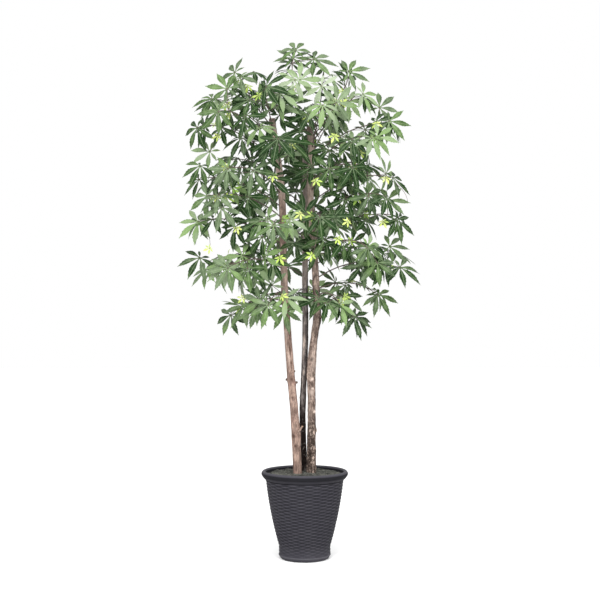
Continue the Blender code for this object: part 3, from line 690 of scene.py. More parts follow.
def tubes(name, runs, finishes, sides_level=1):
    """Round tapered tubes as one mesh. Each run is (points, radii, index of its finish)."""
    curve = bpy.data.curves.new(name, "CURVE")
    curve.dimensions = "3D"
    curve.bevel_depth = 1.0
    curve.bevel_resolution = sides_level
    curve.use_fill_caps = True
    for points, radii, finish in runs:
        spline = curve.splines.new("POLY")
        spline.points.add(len(points) - 1)
        spline.points.foreach_set("co", [value for point in points for value in (*point, 1.0)])
        spline.points.foreach_set("radius", list(radii))
        spline.material_index = finish
    obj = linked(name, curve)
    dress(obj, *finishes)
    choose(obj)
    bpy.ops.object.convert(target="MESH")
    smooth_finish(obj, 50)
    return obj


# Node helpers and shared effects.


def plug(tree, socket, value):
    """Sets a node's input to a number, a colour or another node's output."""
    if isinstance(value, bpy.types.NodeSocket):
        tree.links.new(value, socket)
    else:
        socket.default_value = (*value, 1.0) if socket.type == "RGBA" and len(value) == 3 else value


def add_node(tree, kind, settings=None, **inputs):
    """A shader node with settings and inputs. An input's name is written with _ for a space, or as
    _ and its number."""
    made = tree.nodes.new(f"ShaderNode{kind}")
    for key, value in (settings or {}).items():
        setattr(made, key, value)
    for key, value in inputs.items():
        plug(tree, made.inputs[int(key[1:]) if key[0] == "_" else key.replace("_", " ")], value)
    return made


def maths(tree, operation, *values, clamp=False):
    """The output of a Math node on numbers or sockets."""
    settings = {"operation": operation, "use_clamp": clamp}
    return add_node(tree, "Math", settings, **{f"_{k}": v for k, v in enumerate(values)}).outputs[0]


def times(tree, first, second, clamp=False):
    return maths(tree, "MULTIPLY", first, second, clamp=clamp)


def scaled(tree, value, factor, more, clamp=False):
    """A value times a factor, and more added to it."""
    return maths(tree, "MULTIPLY_ADD", value, factor, more, clamp=clamp)


def mixed(tree, share, first, second, blend="MIX"):
    """The output of a colour mix of two colours or sockets."""
    settings = {"data_type": "RGBA", "blend_type": blend}
    return add_node(tree, "Mix", settings, _0=share, _6=first, _7=second).outputs[2]


def spread(tree, value, low, high, to_low=0.0, to_high=1.0):
    """Maps a value from one range to another, smoothly and clamped."""
    settings = {"interpolation_type": "SMOOTHSTEP", "clamp": True}
    return add_node(tree, "MapRange", settings, Value=value, From_Min=low, From_Max=high,
                    To_Min=to_low, To_Max=to_high).outputs[0]


def noise_value(tree, vector, scale, detail=3.0, rough=0.55, twist=0.0):
    return add_node(tree, "TexNoise", None, Vector=vector, Scale=scale, Detail=detail,
                    Roughness=rough, Distortion=twist).outputs[0]


def new_group(name, inputs, fill):
    """A node group. fill makes its nodes from the tree and its inputs, and returns its outputs."""
    tree = bpy.data.node_groups.new(name, "ShaderNodeTree")
    for key, kind in inputs.items():
        tree.interface.new_socket(key, in_out="INPUT", socket_type=f"NodeSocket{kind}")
    made = fill(tree, tree.nodes.new("NodeGroupInput").outputs)
    for key in made:
        tree.interface.new_socket(key, in_out="OUTPUT", socket_type="NodeSocketFloat")
    put = tree.nodes.new("NodeGroupOutput").inputs
    for key, value in made.items():
        tree.links.new(value, put[key])
    return tree


def use_group(tree, group, **inputs):
    return add_node(tree, "Group", {"node_tree": group}, **inputs).outputs


def attribute(tree, name):
    """A value that give_values has put on the points."""
    return add_node(tree, "Attribute", {"attribute_name": name}).outputs["Fac"]


def stretched(tree, coordinates, z):
    return add_node(tree, "Mapping", None, Vector=coordinates, Scale=(1.0, 1.0, z)).outputs[0]


def new_finish(name, roughness, specular=0.5):
    """A material with its tree, its Principled shader and its object coordinates."""
    finish = bpy.data.materials.new(name)
    finish.use_nodes = True
    tree = finish.node_tree
    shader = tree.nodes["Principled BSDF"]
    shader.inputs["Roughness"].default_value = roughness
    shader.inputs["Specular IOR Level"].default_value = specular
    return finish, tree, shader, add_node(tree, "TexCoord").outputs["Object"]


def colour_in(tree, shader, colour, roughness=None, height=None, strength=0.3, distance=0.001):
    """Wires what changes over the surface into the shader."""
    tree.links.new(colour, shader.inputs["Base Color"])
    if roughness is not None:
        tree.links.new(roughness, shader.inputs["Roughness"])
    if height is not None:
        bump = add_node(tree, "Bump", None, Strength=strength, Distance=distance, Height=height)
        tree.links.new(bump.outputs[0], shader.inputs["Normal"])


def mottle_nodes(tree, given):
    """Soft patches and fine grain, each about 0 to 1, from a pattern's coordinates and its size."""
    patches = noise_value(tree, given["Vector"], given["Scale"], 2.0, 0.5)
    grain = noise_value(tree, given["Vector"], times(tree, given["Scale"], 9.0), 4.0, 0.6)
    return {"Patches": spread(tree, patches, 0.32, 0.68), "Grain": spread(tree, grain, 0.28, 0.72)}


def bark_nodes(tree, given):
    """Long streaks, cracks and warts that follow a trunk, from object coordinates."""
    shift = add_node(tree, "CombineXYZ", None, Z=given["Shift"]).outputs[0]
    settings = {"operation": "ADD"}
    place = add_node(tree, "VectorMath", settings, _0=given["Vector"], _1=shift).outputs[0]
    streaks, cracks, patches, flecks = (
        noise_value(tree, stretched(tree, place, stretch), *pattern) for stretch, *pattern in BARK_PATTERNS
    )
    ridge = maths(tree, "ABSOLUTE", maths(tree, "SUBTRACT", cracks, 0.5))
    crack_mask = spread(tree, ridge, 0.0, 0.045, 1.0, 0.0)
    warts = noise_value(tree, place, 420.0, 3.0, 0.6)
    height = maths(tree, "ADD", times(tree, streaks, 0.75), times(tree, warts, 0.35))
    return {
        "Streaks": spread(tree, streaks, 0.36, 0.64), "Cracks": crack_mask,
        "Patches": spread(tree, patches, 0.42, 0.58), "Flecks": spread(tree, flecks, 0.56, 0.7),
        "Height": maths(tree, "SUBTRACT", height, times(tree, crack_mask, 0.35)),
    }


def vein_nodes(tree, given):
    """Masks of a leaflet's rib and of its side veins, from its UV map: x across and y along it."""
    parts = add_node(tree, "SeparateXYZ", None, Vector=given["UV"]).outputs
    across = maths(tree, "ABSOLUTE", maths(tree, "SUBTRACT", parts["X"], 0.5))
    rib_width = scaled(tree, parts["Y"], -0.008, 0.0125)
    rib = spread(tree, maths(tree, "SUBTRACT", across, rib_width), -0.004, 0.006, 1.0, 0.0)
    slanted = scaled(tree, across, -1.25, parts["Y"])
    step = maths(tree, "FRACT", times(tree, slanted, VEIN_PAIRS))
    wave = maths(tree, "ABSOLUTE", maths(tree, "SUBTRACT", step, 0.5))
    side = spread(tree, wave, 0.0, 0.13, 1.0, 0.0)
    height = maths(tree, "ADD", times(tree, rib, -1.0), times(tree, side, -0.45))
    return {"Rib": rib, "Veins": side, "Height": height}


MOTTLE = new_group("mottle", {"Vector": "Vector", "Scale": "Float"}, mottle_nodes)
BARK = new_group("bark", {"Vector": "Vector", "Shift": "Float"}, bark_nodes)
VEINS = new_group("veins", {"UV": "Vector"}, vein_nodes)


def leaf_finish(name, dark, pale, vein, roughness):
    """Printed leaf cloth: each leaflet has its own tone, with lighter ribs and veins."""
    finish, tree, shader, place = new_finish(name, roughness, 0.1)
    # The tone holds each leaflet's own tone and the painted light and shade of its leaf's place in the
    # crown.
    tone = attribute(tree, "tone")
    along = add_node(tree, "UVMap", {"uv_map": "leaflet"}).outputs[0]
    veins = use_group(tree, VEINS, UV=along)
    spots = use_group(tree, MOTTLE, Vector=place, Scale=55.0)
    share = scaled(tree, maths(tree, "SUBTRACT", spots["Patches"], 0.5), 0.3, tone, clamp=True)
    colour = mixed(tree, share, dark, pale)
    warmth = spread(tree, noise_value(tree, place, 9.0, 1.0), 0.4, 0.6)
    colour = mixed(tree, 1.0, colour, mixed(tree, warmth, (1.00, 0.98, 1.00), (0.9, 1.04, 0.66)), "MULTIPLY")
    colour = mixed(tree, maths(tree, "SUBTRACT", tone, 1.0, clamp=True), colour, FADED)
    colour = mixed(tree, times(tree, spots["Grain"], 0.22), colour, dark)
    lines = maths(tree, "MAXIMUM", times(tree, veins["Rib"], 0.42), times(tree, veins["Veins"], 0.12))
    colour = mixed(tree, lines, colour, vein)
    rough = scaled(tree, spots["Grain"], 0.14, roughness - 0.07)
    height = scaled(tree, spots["Grain"], 0.35, veins["Height"])
    colour_in(tree, shader, colour, rough, height, 0.45, 0.0008)
    return finish


def spotted_finish(name, scale, first, second, grains, grain, roughness, specular, bump, vary=0.0):
    """Patches of two colours with grains of a third one, rough or smooth in the same grains."""
    finish, tree, shader, place = new_finish(name, roughness, specular)
    spots = use_group(tree, MOTTLE, Vector=place, Scale=scale)
    colour = mixed(tree, spots["Patches"], first, second)
    colour = mixed(tree, times(tree, spots["Grain"], grain), colour, grains)
    rough = scaled(tree, spots["Grain"], vary, roughness - vary / 2) if vary else None
    colour_in(tree, shader, colour, rough, spots["Grain"], *bump)
    return finish


def scales(tree, place, colour, light, crack, top):
    """Small bark scales with dark outlines, some of them pale, below a height."""
    height = add_node(tree, "SeparateXYZ", None, Vector=place).outputs["Z"]
    below = spread(tree, height, top - 0.03, top + 0.02, 1.0, 0.0)
    wobble = add_node(tree, "TexNoise", None, Vector=place, Scale=130.0).outputs["Color"]
    bent_place = mixed(tree, 0.012, stretched(tree, place, 0.62), wobble, "ADD")
    cells = {"Vector": bent_place, "Scale": 125.0}
    edge = add_node(tree, "TexVoronoi", {"feature": "DISTANCE_TO_EDGE"}, **cells).outputs[0]
    own = add_node(tree, "TexVoronoi", None, **cells).outputs["Color"]
    own = add_node(tree, "SeparateXYZ", None, Vector=own).outputs["X"]
    pale = times(tree, below, spread(tree, own, 0.55, 0.9))
    colour = mixed(tree, times(tree, pale, 0.75), colour, light)
    outline = times(tree, below, spread(tree, edge, 0.05, 0.24, 0.85, 0.0))
    return mixed(tree, outline, colour, crack)


def bark_finish(name, base, light, dark, crack, shift, scaly_below=0):
    """Bark with broad patches, dark streaks and cracks, pale flecks and scars. The attribute tint
    is 1 where it is darker and -1 where it is paler than usual: it holds the bark's own marks, and
    also painted shade down the trunks' sides and in the crown, and painted light in the crown."""
    finish, tree, shader, place = new_finish(name, 0.82, 0.1)
    bark = use_group(tree, BARK, Vector=place, Shift=shift)
    hollow = attribute(tree, "hollow")
    tint = attribute(tree, "tint")
    pale = times(tree, tint, -1.0, clamp=True)
    colour = mixed(tree, bark["Patches"], base, light)
    colour = mixed(tree, times(tree, bark["Streaks"], 0.7), colour, dark)
    # The tint's darker part: the bark's own dark stretches, and painted shade down the trunks' sides and in
    # the crown.
    colour = mixed(tree, maths(tree, "MAXIMUM", tint, 0.0, clamp=True), colour, dark)
    colour = mixed(tree, times(tree, bark["Flecks"], 0.65), colour, light)
    deep = maths(tree, "MAXIMUM", times(tree, bark["Cracks"], 0.7), hollow, clamp=True)
    colour = mixed(tree, deep, colour, crack)
    if scaly_below:
        colour = scales(tree, place, colour, light, crack, scaly_below)
    # The tint's paler part: the bark's own pale marks, and painted light in the crown.
    colour = mixed(tree, pale, colour, (0.62, 0.5, 0.43))
    rough = scaled(tree, bark["Streaks"], 0.14, 0.74)
    colour_in(tree, shader, colour, rough, bark["Height"], 0.9, 0.0022)
    return finish


def cut_wood_finish():
    """The sawn top of a trunk, with rings."""
    finish, tree, shader, place = new_finish("cut_wood", 0.75, 0.3)
    spots = use_group(tree, MOTTLE, Vector=place, Scale=70.0)
    rings = add_node(tree, "TexWave", {"wave_type": "RINGS", "rings_direction": "Z"}, Vector=place,
                     Scale=160.0, Distortion=1.4, Detail=2.0).outputs["Fac"]
    colour = mixed(tree, times(tree, rings, 0.5), (0.46, 0.31, 0.18), (0.27, 0.16, 0.09))
    colour = mixed(tree, times(tree, spots["Grain"], 0.35), colour, (0.2, 0.13, 0.08))
    colour_in(tree, shader, colour, None, rings, 0.25, 0.0005)
    return finish


def planter_finish():
    """Dark moulded plastic with a faint blue tone and fine grain, with painted shade in the weave's grooves
    and rings of painted shade and painted highlight.
    """
    finish, tree, shader, place = new_finish("charcoal_plastic", 0.4, 0.08)
    spots = use_group(tree, MOTTLE, Vector=place, Scale=16.0)
    painted_shade_and_highlight = attribute(tree, "painted_shade_and_highlight")
    colour = mixed(tree, spots["Patches"], (0.041, 0.039, 0.049), (0.048, 0.046, 0.056))
    colour = mixed(tree, times(tree, spots["Grain"], 0.25), colour, (0.032, 0.032, 0.035))
    # Painted shade: darker deep in the weave's grooves and in the shaded rings round the rim.
    deep = maths(tree, "MAXIMUM", painted_shade_and_highlight, 0.0)
    colour = mixed(tree, times(tree, deep, 0.95), colour, (0.004, 0.004, 0.005))
    # Painted highlight: paler in the highlight rings on the lip and the foot.
    colour = mixed(tree, times(tree, painted_shade_and_highlight, -1.0, clamp=True), colour, (0.12, 0.118, 0.128))
    rough = scaled(tree, spots["Grain"], 0.12, scaled(tree, deep, 0.2, 0.58))
    strands = noise_value(tree, stretched(tree, place, 6.0), 240.0, 3.0, 0.6)
    height = scaled(tree, strands, 0.5, spots["Grain"])
    colour_in(tree, shader, colour, rough, height, 0.22, 0.0006)
    return finish


# The planter.


def wall_radius(z):
    """Outer radius of the planter's bellied wall at a height, and of its upright foot below."""
    share = max((z - POT_WALL_BOTTOM) / (POT_WALL_TOP - POT_WALL_BOTTOM), 0)
    straight = POT_WALL_RADIUS_BOTTOM + share * (POT_WALL_RADIUS_TOP - POT_WALL_RADIUS_BOTTOM)
    return max(straight + 4 * share * (1 - share) * POT_BELLY, POT_FOOT_RADIUS)


def planter_profile():
    """The planter's half section from its foot up the outside, over the rim and down the inside,
    with several points to each strand of the wall."""
    rows = STRANDS * STRAND_POINTS
    heights = [WEAVE_BOTTOM + (WEAVE_TOP - WEAVE_BOTTOM) * k / rows for k in range(rows + 1)]
    wall = [(wall_radius(z), z) for z in heights]
    round_foot, upper_foot, neck, rim = (
        [(radius + out, z + up) for out, up in steps] for radius, z, steps in POT_SECTIONS
    )
    inside = [(wall_radius(z) - POT_THICKNESS, z) for z in reversed(INNER_HEIGHTS)]
    floor = (POT_FOOT_RADIUS - 2 * POT_THICKNESS, POT_FLOOR)
    return [*round_foot, *upper_foot, *wall, *neck, *rim, *inside, floor]


def weave_relief(angles, heights):
    """How far the woven wall stands out, and how far into the weave's hollows it lies, which is painted in
    as shade, at angles and heights.
    """
    sway = WEAVE_SWAY * (np.sin(3 * angles + 0.8) + 0.6 * np.sin(7 * angles + 40 * heights))
    rows = (heights - WEAVE_BOTTOM + sway * np.clip((heights - WEAVE_BOTTOM) / 0.02, 0, 1)
            * np.clip((WEAVE_TOP - heights) / 0.02, 0, 1)) / (WEAVE_TOP - WEAVE_BOTTOM) * STRANDS
    row = np.floor(rows)
    across = 2 * (rows - row) - 1
    way = np.where(row % 2 == 0, 1.0, -1.0)
    wave = way * np.cos(angles * STAKES / 2)
    flat_wave = np.sign(wave) * np.abs(wave) ** 0.7
    strand = STRAND_ROUND * (np.sqrt(np.clip(1 - across**2, 0, 1)) - 1) + STRAND_WAVE * (flat_wave - 1) / 2
    stake_phase = np.abs((angles * STAKES / (2 * pi) + 0.5) % 1.0 - 0.5)
    stake = STAKE_FACE - STAKE_ROUND * np.clip(stake_phase / STAKE_HALF_WIDTH, 0, 2) ** 2
    relief = np.maximum(strand, stake)
    woven = (heights > WEAVE_BOTTOM - 1e-6) & (heights < WEAVE_TOP + 1e-6)
    fade = np.clip((WEAVE_TOP - heights) / 0.002, 0, 1)
    fade = fade * np.clip(0.35 + (heights - WEAVE_BOTTOM) / 0.05, 0, 1)
    relief = np.where(woven, relief * fade, 0.0)
    return relief, np.clip(-relief / (STRAND_ROUND + STRAND_WAVE), 0, 1)


def build_planter(finish):
    planter = spun("woven_planter", planter_profile(), POT_STEPS)
    points = read_points(planter.data)
    radii = np.hypot(points[:, 0], points[:, 1])
    angles = np.arctan2(points[:, 1], points[:, 0])
    outer = np.abs(radii - np.array([wall_radius(z) for z in points[:, 2]])) < 1e-4
    relief, painted_shade_and_highlight = weave_relief(angles, points[:, 2])
    relief[~outer] = 0
    painted_shade_and_highlight[~outer] = 0
    plain = (radii > POT_FOOT_RADIUS - 0.002) & ~outer
    # Rings of painted shade and painted highlight on the plain parts.
    for low, high, change in PAINTED_SHADE_AND_HIGHLIGHT_RINGS:
        painted_shade_and_highlight[(points[:, 2] > low) & (points[:, 2] < high) & plain] = change
    points[:, :2] *= ((radii + relief) / np.maximum(radii, 1e-6))[:, None]
    write_points(planter.data, points)
    give_values(planter, "painted_shade_and_highlight", painted_shade_and_highlight.astype(np.float32))
    dress(planter, finish)
    smooth_finish(planter, 60)
    stands_for(planter, "planter_plastic", "planter")


# The moss.


def moss_height(x, y):
    """The moss's lumpy top at a place."""
    radius = hypot(x, y)
    dome = MOSS_TOP + MOSS_DOME * (1 - min(radius / MOSS_RADIUS, 1.0))
    lumps = (size * noise.noise(Vector((x * scale, y * scale, 3.1))) for scale, size in MOSS_LUMPS)
    return dome - 0.002 + sum(lumps)


def build_moss(finish, strand_finish):
    low = FILLER_TOP + FIT_GAP
    top = [(MOSS_RADIUS * (1 - k / MOSS_RINGS), MOSS_TOP) for k in range(1, MOSS_RINGS + 1)]
    edge = [(MOSS_RADIUS - 0.005, low), (MOSS_RADIUS - 0.003, low + MOSS_EDGE)]
    edge.append((MOSS_RADIUS, MOSS_TOP - 0.006))
    moss = spun("moss", [*edge, *top], MOSS_STEPS)
    points = read_points(moss.data)
    for point in points:
        if point[2] > MOSS_TOP - FIT_GAP:
            point[2] = moss_height(point[0], point[1])
    write_points(moss.data, points)
    dress(moss, finish)
    smooth_finish(moss, 70)
    stands_for(moss, "moss", "moss_cover")
    draw = random.Random(MOSS_SEED)
    runs = []
    while len(runs) < MOSS_STRANDS:
        angle, reach = draw.uniform(0, 2 * pi), (MOSS_RADIUS - 0.006) * sqrt(draw.random())
        heading, length = draw.uniform(0, 2 * pi), draw.uniform(*MOSS_STRAND_LENGTH)
        curl = draw.uniform(-MOSS_STRAND_CURL, MOSS_STRAND_CURL)
        x, y = reach * cos(angle), reach * sin(angle)
        points = []
        for k in range(MOSS_STRAND_RUNS + 1):
            if hypot(x, y) > MOSS_RADIUS - 0.004:
                break
            lift = MOSS_STRAND_LIFT * sin(pi * k / MOSS_STRAND_RUNS) * draw.uniform(0.3, 1.5)
            points.append(Vector((x, y, moss_height(x, y) + lift)))
            heading += curl / MOSS_STRAND_RUNS + draw.uniform(-0.3, 0.3)
            x += length / MOSS_STRAND_RUNS * cos(heading)
            y += length / MOSS_STRAND_RUNS * sin(heading)
        if len(points) > MOSS_STRAND_RUNS:
            thick = draw.uniform(*MOSS_STRAND_RADIUS)
            runs.append((points, [thick * 0.5, thick, thick, thick, thick, thick * 0.4], 0))
    strands = tubes("moss_strands", runs, [strand_finish], 0)
    stands_for(strands, "moss", "moss_cover")


# The trunks.


def lobed(angle):
    """How far a trunk stands out at an angle, as a share of its radius."""
    return 1 + sum(size * cos(count * angle + shift) for count, size, shift in BARK_LOBES)


def away_from(mark, angle, z, radius):
    """How far a point of the bark lies from a knot or tint, as a share of that one's size."""
    height, azimuth, tall, wide = mark[:4]
    turn = (angle - radians(azimuth) + pi) % (2 * pi) - pi
    return hypot((z - height) / tall, turn * radius / wide if wide else 0)


def bark_point(trunk, angle, z, relief):
    """A point of a trunk's bark, how deep in a scar it lies and how dark or pale it is tinted."""
    low, high = TRUNKS[trunk][0][2], TRUNKS[trunk][-1][2]
    near = [trunk_at(trunk, min(max(z + shift, low), high)) for shift in (-BARK_SMOOTH, 0, BARK_SMOOTH)]
    centre = (near[0][0] + near[1][0] + near[2][0]) / 3
    centre.z = z
    radius = sum(radius for _, radius in near) / 3
    radius *= lobed(angle)
    out = level_way(angle)
    ridges, warts, pits = relief
    seed = 10.0 * list(TRUNKS).index(trunk)
    around = out * radius

    def rough(across, along):
        return noise.noise(Vector((around.x * across, around.y * across, z * along + seed)))

    ridge, wart = rough(210, 24), rough(90, 60)
    grown = ridges * ridge + warts * wart + pits * min(rough(330, 150) + 0.25, 0) * 2
    hollow = tint = 0.0
    for knot in KNOTS[trunk]:
        away, rise = away_from(knot, angle, z, radius), knot[4]
        if away < KNOT_REACH:
            bump = exp(-1.6 * away * away)
            collar = exp(-6.0 * (away - 1.1) ** 2) if rise < 0 else 0.0
            grown += rise * bump + KNOT_COLLAR * collar
            if rise < 0:
                hollow = max(hollow, 1.15 * bump)
    for mark in TINTS[trunk]:
        away = away_from(mark, angle, z, radius)
        if away < TINT_REACH:
            tint += mark[4] * min(max(1.5 - away + 0.35 * ridge + 0.35 * wart, 0), 1)
    return centre + out * (radius + grown), min(hollow, 1.0), min(max(tint, -1), 1)


def build_trunk(trunk, bark, cut_wood):
    """A long cylinder cut into rings, with each ring set round the trunk's own line."""
    low, high = TRUNKS[trunk][0][2], TRUNKS[trunk][-1][2]
    piece = added(
        f"bark_{trunk}", bpy.ops.mesh.primitive_cylinder_add, vertices=BARK_SIDES, radius=1.0, depth=1.0,
        location=(0, 0, 0.5),
    )
    begin(piece)
    for cuts in BARK_CUTS:
        pick(piece, "EDGE", lambda middle, edge: abs(edge.verts[0].co.z - edge.verts[1].co.z) > 1e-4)
        bpy.ops.mesh.subdivide(number_cuts=cuts)
    pick(piece, "FACE", lambda middle, face: middle.z > 0.9999 and len(face.verts) > 4)
    bpy.ops.mesh.inset(thickness=0.1)
    move(0, 0, 0.001)
    end()
    points = read_points(piece.data)
    hollows, tints = (np.zeros(len(points), dtype=np.float32) for _ in range(2))
    for k, (x, y, z) in enumerate(points):
        angle = atan2(y, x)
        level = low + (high - low) * min(z, 1.0)
        outer, hollows[k], tints[k] = bark_point(trunk, angle, level, BARKS[trunk])
        if hypot(x, y) < 0.95:
            centre = trunk_at(trunk, high)[0]
            outer = centre + (outer - centre) * (1 - CUT_ROUND / (outer - centre).length)
            outer.z = high
        elif z > 0.9999:
            outer.z = high - 0.6 * CUT_ROUND
        points[k] = outer
    write_points(piece.data, points)
    give_values(piece, "hollow", hollows)
    give_values(piece, "tint", tints)
    dress(piece, bark, cut_wood)
    for face in piece.data.polygons:
        if face.normal.z > 0.95 and face.center.z > high - 0.002:
            face.material_index = 1
    smooth_finish(piece, 46)
    stubs = [build_stub(trunk, k, row, bark, cut_wood) for k, row in enumerate(STUBS[trunk])]
    stands_for(joined([piece, *stubs], f"bark_{trunk}"), BARK_SLOTS[trunk], f"trunk_{trunk}")


def build_stub(trunk, k, row, bark, cut_wood):
    """The stub of a cut side shoot: a short rough cylinder that swells into the trunk."""
    height, azimuth, length, radius, lift, knob = row
    centre, trunk_radius = trunk_at(trunk, height)
    out = level_way(radians(azimuth), lift)
    out.normalize()
    long = (1 - STUB_ROOT) * trunk_radius + length
    foot, tip = centre + out * (STUB_ROOT * trunk_radius), centre + out * (trunk_radius + length)
    stub = added(
        f"stub {trunk} {k}", bpy.ops.mesh.primitive_cylinder_add, vertices=16, radius=radius, depth=long,
        location=centre + out * (STUB_ROOT * trunk_radius + long / 2),
        rotation=out.to_track_quat("Z", "Y").to_euler(),
    )
    begin(stub)
    pick(stub, "EDGE", lambda middle, edge: abs((middle - foot).dot(out) - long / 2) < 0.1 * long)
    bpy.ops.mesh.subdivide(number_cuts=6)
    pick(stub, "FACE", lambda middle, face: (middle - tip).length < 0.2 * radius)
    bpy.ops.mesh.inset(thickness=0.22 * radius)
    end()
    points = read_points(stub.data)
    for j, point in enumerate(points):
        place = Vector(point)
        along = (place - foot).dot(out)
        middle = foot + out * along
        share = along / long
        swell = STUB_TAPER[0] + (STUB_TAPER[1] - STUB_TAPER[0]) * share + 0.6 * max(0.5 - share, 0)
        if knob:
            swell = 0.8 + 0.35 * sin(pi * min(max(share - 0.4, 0) / 0.6, 1) * 0.9)
        rough = 1 + STUB_ROUGH * noise.noise(place * STUB_GRAIN)
        points[j] = middle + (place - middle) * swell * rough
    write_points(stub.data, points)
    give_values(stub, "hollow", [0.0] * len(points))
    give_values(stub, "tint", [KNOB_TINT if knob else STUB_TINT] * len(points))
    dress(stub, bark, cut_wood)
    for face in stub.data.polygons:
        if not knob and (face.center - tip).length < 0.3 * radius:
            face.material_index = 1
    smooth_finish(stub, 46)
    return stub


# Where sprays and leaves grow: the model's own rules.


def joined_rings(rings):
    """Vertices and faces of a closed tube through rings that have the same number of points."""
    count = len(rings[0])
    vertices = [point for ring in rings for point in ring]
    faces = [tuple(range(count)), tuple(range(len(vertices) - count, len(vertices)))]
    for low in range(0, len(vertices) - count, count):
        for j in range(count):
            a, b = low + j, low + (j + 1) % count
            faces.append((a, b, b + count, a + count))
    return vertices, faces


def slim_tube(points, radii, side, top, sides=3):
    """A tube with few sides through points. Its rings are all turned alike, so its sides are flat,
    and its first edge runs along its top."""
    turn = 2 * pi / sides
    return joined_rings([
        [point + radius * (sin(j * turn) * side + cos(j * turn) * top) for j in range(sides)]
        for point, radius in zip(points, radii)
    ])


def trunk_at(trunk, z):
    """Centre and radius of a trunk at a height."""
    for (x0, y0, z0, r0), (x1, y1, z1, r1) in zip(TRUNKS[trunk], TRUNKS[trunk][1:]):
        if z <= z1:
            break
    share = (z - z0) / (z1 - z0)
    return Vector((x0 + (x1 - x0) * share, y0 + (y1 - y0) * share, z)), r0 + (r1 - r0) * share


def trunk_ring(centre, radius):
    """One level ring of a trunk. All have the same slightly lobed shape, so their sides are flat."""
    angles = [2 * pi * j / TRUNK_SIDES for j in range(TRUNK_SIDES)]
    return [centre + radius * lobed(angle) * level_way(angle) for angle in angles]


def outward(spray):
    return level_way(radians(spray[1]))


def stem_lead(spray):
    """How far out and up a stem heads before it bows over, so that none starts too steeply."""
    reach, rise = spray[2], spray[3]
    ahead, lift = 0.5 * reach, 0.5 * rise + 2 * STEM_BOW * reach
    if lift > STEEPEST * ahead:
        ahead = max(ahead, 0.25 * rise)
        lift = min(lift, STEEPEST * ahead)
    return ahead, lift


def spray_root(trunk, spray):
    """The hole's mouth, the direction in which the stem leaves it, and the level and the upper
    direction across the stem as a whole."""
    centre, radius = trunk_at(trunk, spray[0])
    out = outward(spray)
    ahead, lift = stem_lead(spray)
    side = UP.cross(out)
    chord = (out * spray[2] + UP * spray[3]).normalized()
    return centre + out * radius, (out * ahead + UP * lift).normalized(), side, chord.cross(side)


def stem_point(trunk, spray, sway, t):
    """A point of a stem's arch: it leaves the trunk rising, and bows over towards its tip."""
    mouth, _, side, _ = spray_root(trunk, spray)
    ahead, lift = stem_lead(spray)
    early, late = 2 * t * (1 - t), t * t
    level = early * ahead + late * spray[2]
    return mouth + outward(spray) * level + UP * (early * lift + late * spray[3]) + side * sway * late


def stem_line(trunk, spray, sway):
    """The stem's points and radii, from its plugged end in the trunk to its tip, and its sides."""
    mouth, along, side, top = spray_root(trunk, spray)
    shares = [(k + 1) / STEM_RUNS for k in range(STEM_RUNS)]
    points = [mouth - along * STEM_PLUG, mouth + along * STEM_STRAIGHT]
    points += [stem_point(trunk, spray, sway, share) for share in shares]
    radii = [STEM_ROOT_RADIUS + (STEM_TIP_RADIUS - STEM_ROOT_RADIUS) * share for share in (0, 0, *shares)]
    return points, radii, side, top


def on_stem(line, t):
    """The point of the stem's straight runs at a share of its length, where a stalk is rooted."""
    k = min(int(t * STEM_RUNS), STEM_RUNS - 1)
    return line[k + 1].lerp(line[k + 2], t * STEM_RUNS - k)


def arc(length, droop, bend, share):
    """Reach and height of a leaflet's rib at a share of its length, as it bends down."""
    turned_to = droop + bend * share
    reach = length * (sin(turned_to) - sin(droop)) / bend
    return reach, length * (cos(turned_to) - cos(droop)) / bend


def leaf_outline(leaf):
    """The outline of a leaf round its hub, from its left back corner to its right one, in the
    leaf's own axes: x right, y along the middle leaflet, z up from the blade."""
    parts, hub = leaf["leaflets"], leaf["kind"]["hub"]
    outline = [Vector((-HUB_BACK[0], HUB_BACK[1], 0))]
    for k, (angle, length, droop, bend) in enumerate(parts):
        ahead = Vector((sin(angle), cos(angle), 0))
        across = Vector((cos(angle), -sin(angle), 0)) * LEAFLET_WIDTH * length
        reach, fall = arc(length, droop, bend, LEAFLET_WIDEST)
        middle = ahead * reach + UP * (fall + LEAF_FOLD * LEAFLET_WIDTH * length)
        reach, fall = arc(length, droop, bend, 1.0)
        tip = ahead * reach + UP * fall
        outline += [middle - across, tip, middle + across] if leaf["kind"] is GROWN else [tip]
        if k + 1 < len(parts):
            between = (angle + parts[k + 1][0]) / 2
            outline.append(Vector((hub * sin(between), hub * cos(between), 0)))
    return [*outline, Vector((HUB_BACK[0], HUB_BACK[1], 0))]


def leaf_shapes(leaf):
    """The shapes that find room for a leaf: its thin blade, which is thickest along its ribs, its
    straight stalk, which starts at the underside of the hub, and the stalk's free length."""
    frame = leaf["frame"]
    outline = [frame @ point for point in leaf_outline(leaf)]
    above, below = (frame @ Vector((0, 0, way * LEAF_HALF_THICKNESS)) for way in (1, -1))
    count = len(outline)
    top, bottom = count, count + 1
    faces = [(top, k + 1, k) for k in range(count - 1)]
    faces += [(bottom, k, k + 1) for k in range(count - 1)]
    blade = [*outline, above, below], [*faces, (top, 0, count - 1), (bottom, count - 1, 0)]
    hub_ring = [below, outline[-1], outline[0]]
    middle = (hub_ring[0] + hub_ring[1] + hub_ring[2]) / 3
    ring = [leaf["root"] + (point - middle) * STALK_ROOT_SHARE for point in hub_ring]
    free = [start.lerp(end, STALK_FREE_SHARE) for start, end in zip(ring, hub_ring)]
    return blade, joined_rings([ring, hub_ring]), joined_rings([ring, free])


def leaf_frame(hub, ahead, face):
    """The leaf's axes at its hub, from the way its middle leaflet points and the way it faces."""
    right = ahead.cross(face)
    return Matrix.Translation(hub) @ Matrix((right, ahead, face)).transposed().to_4x4()


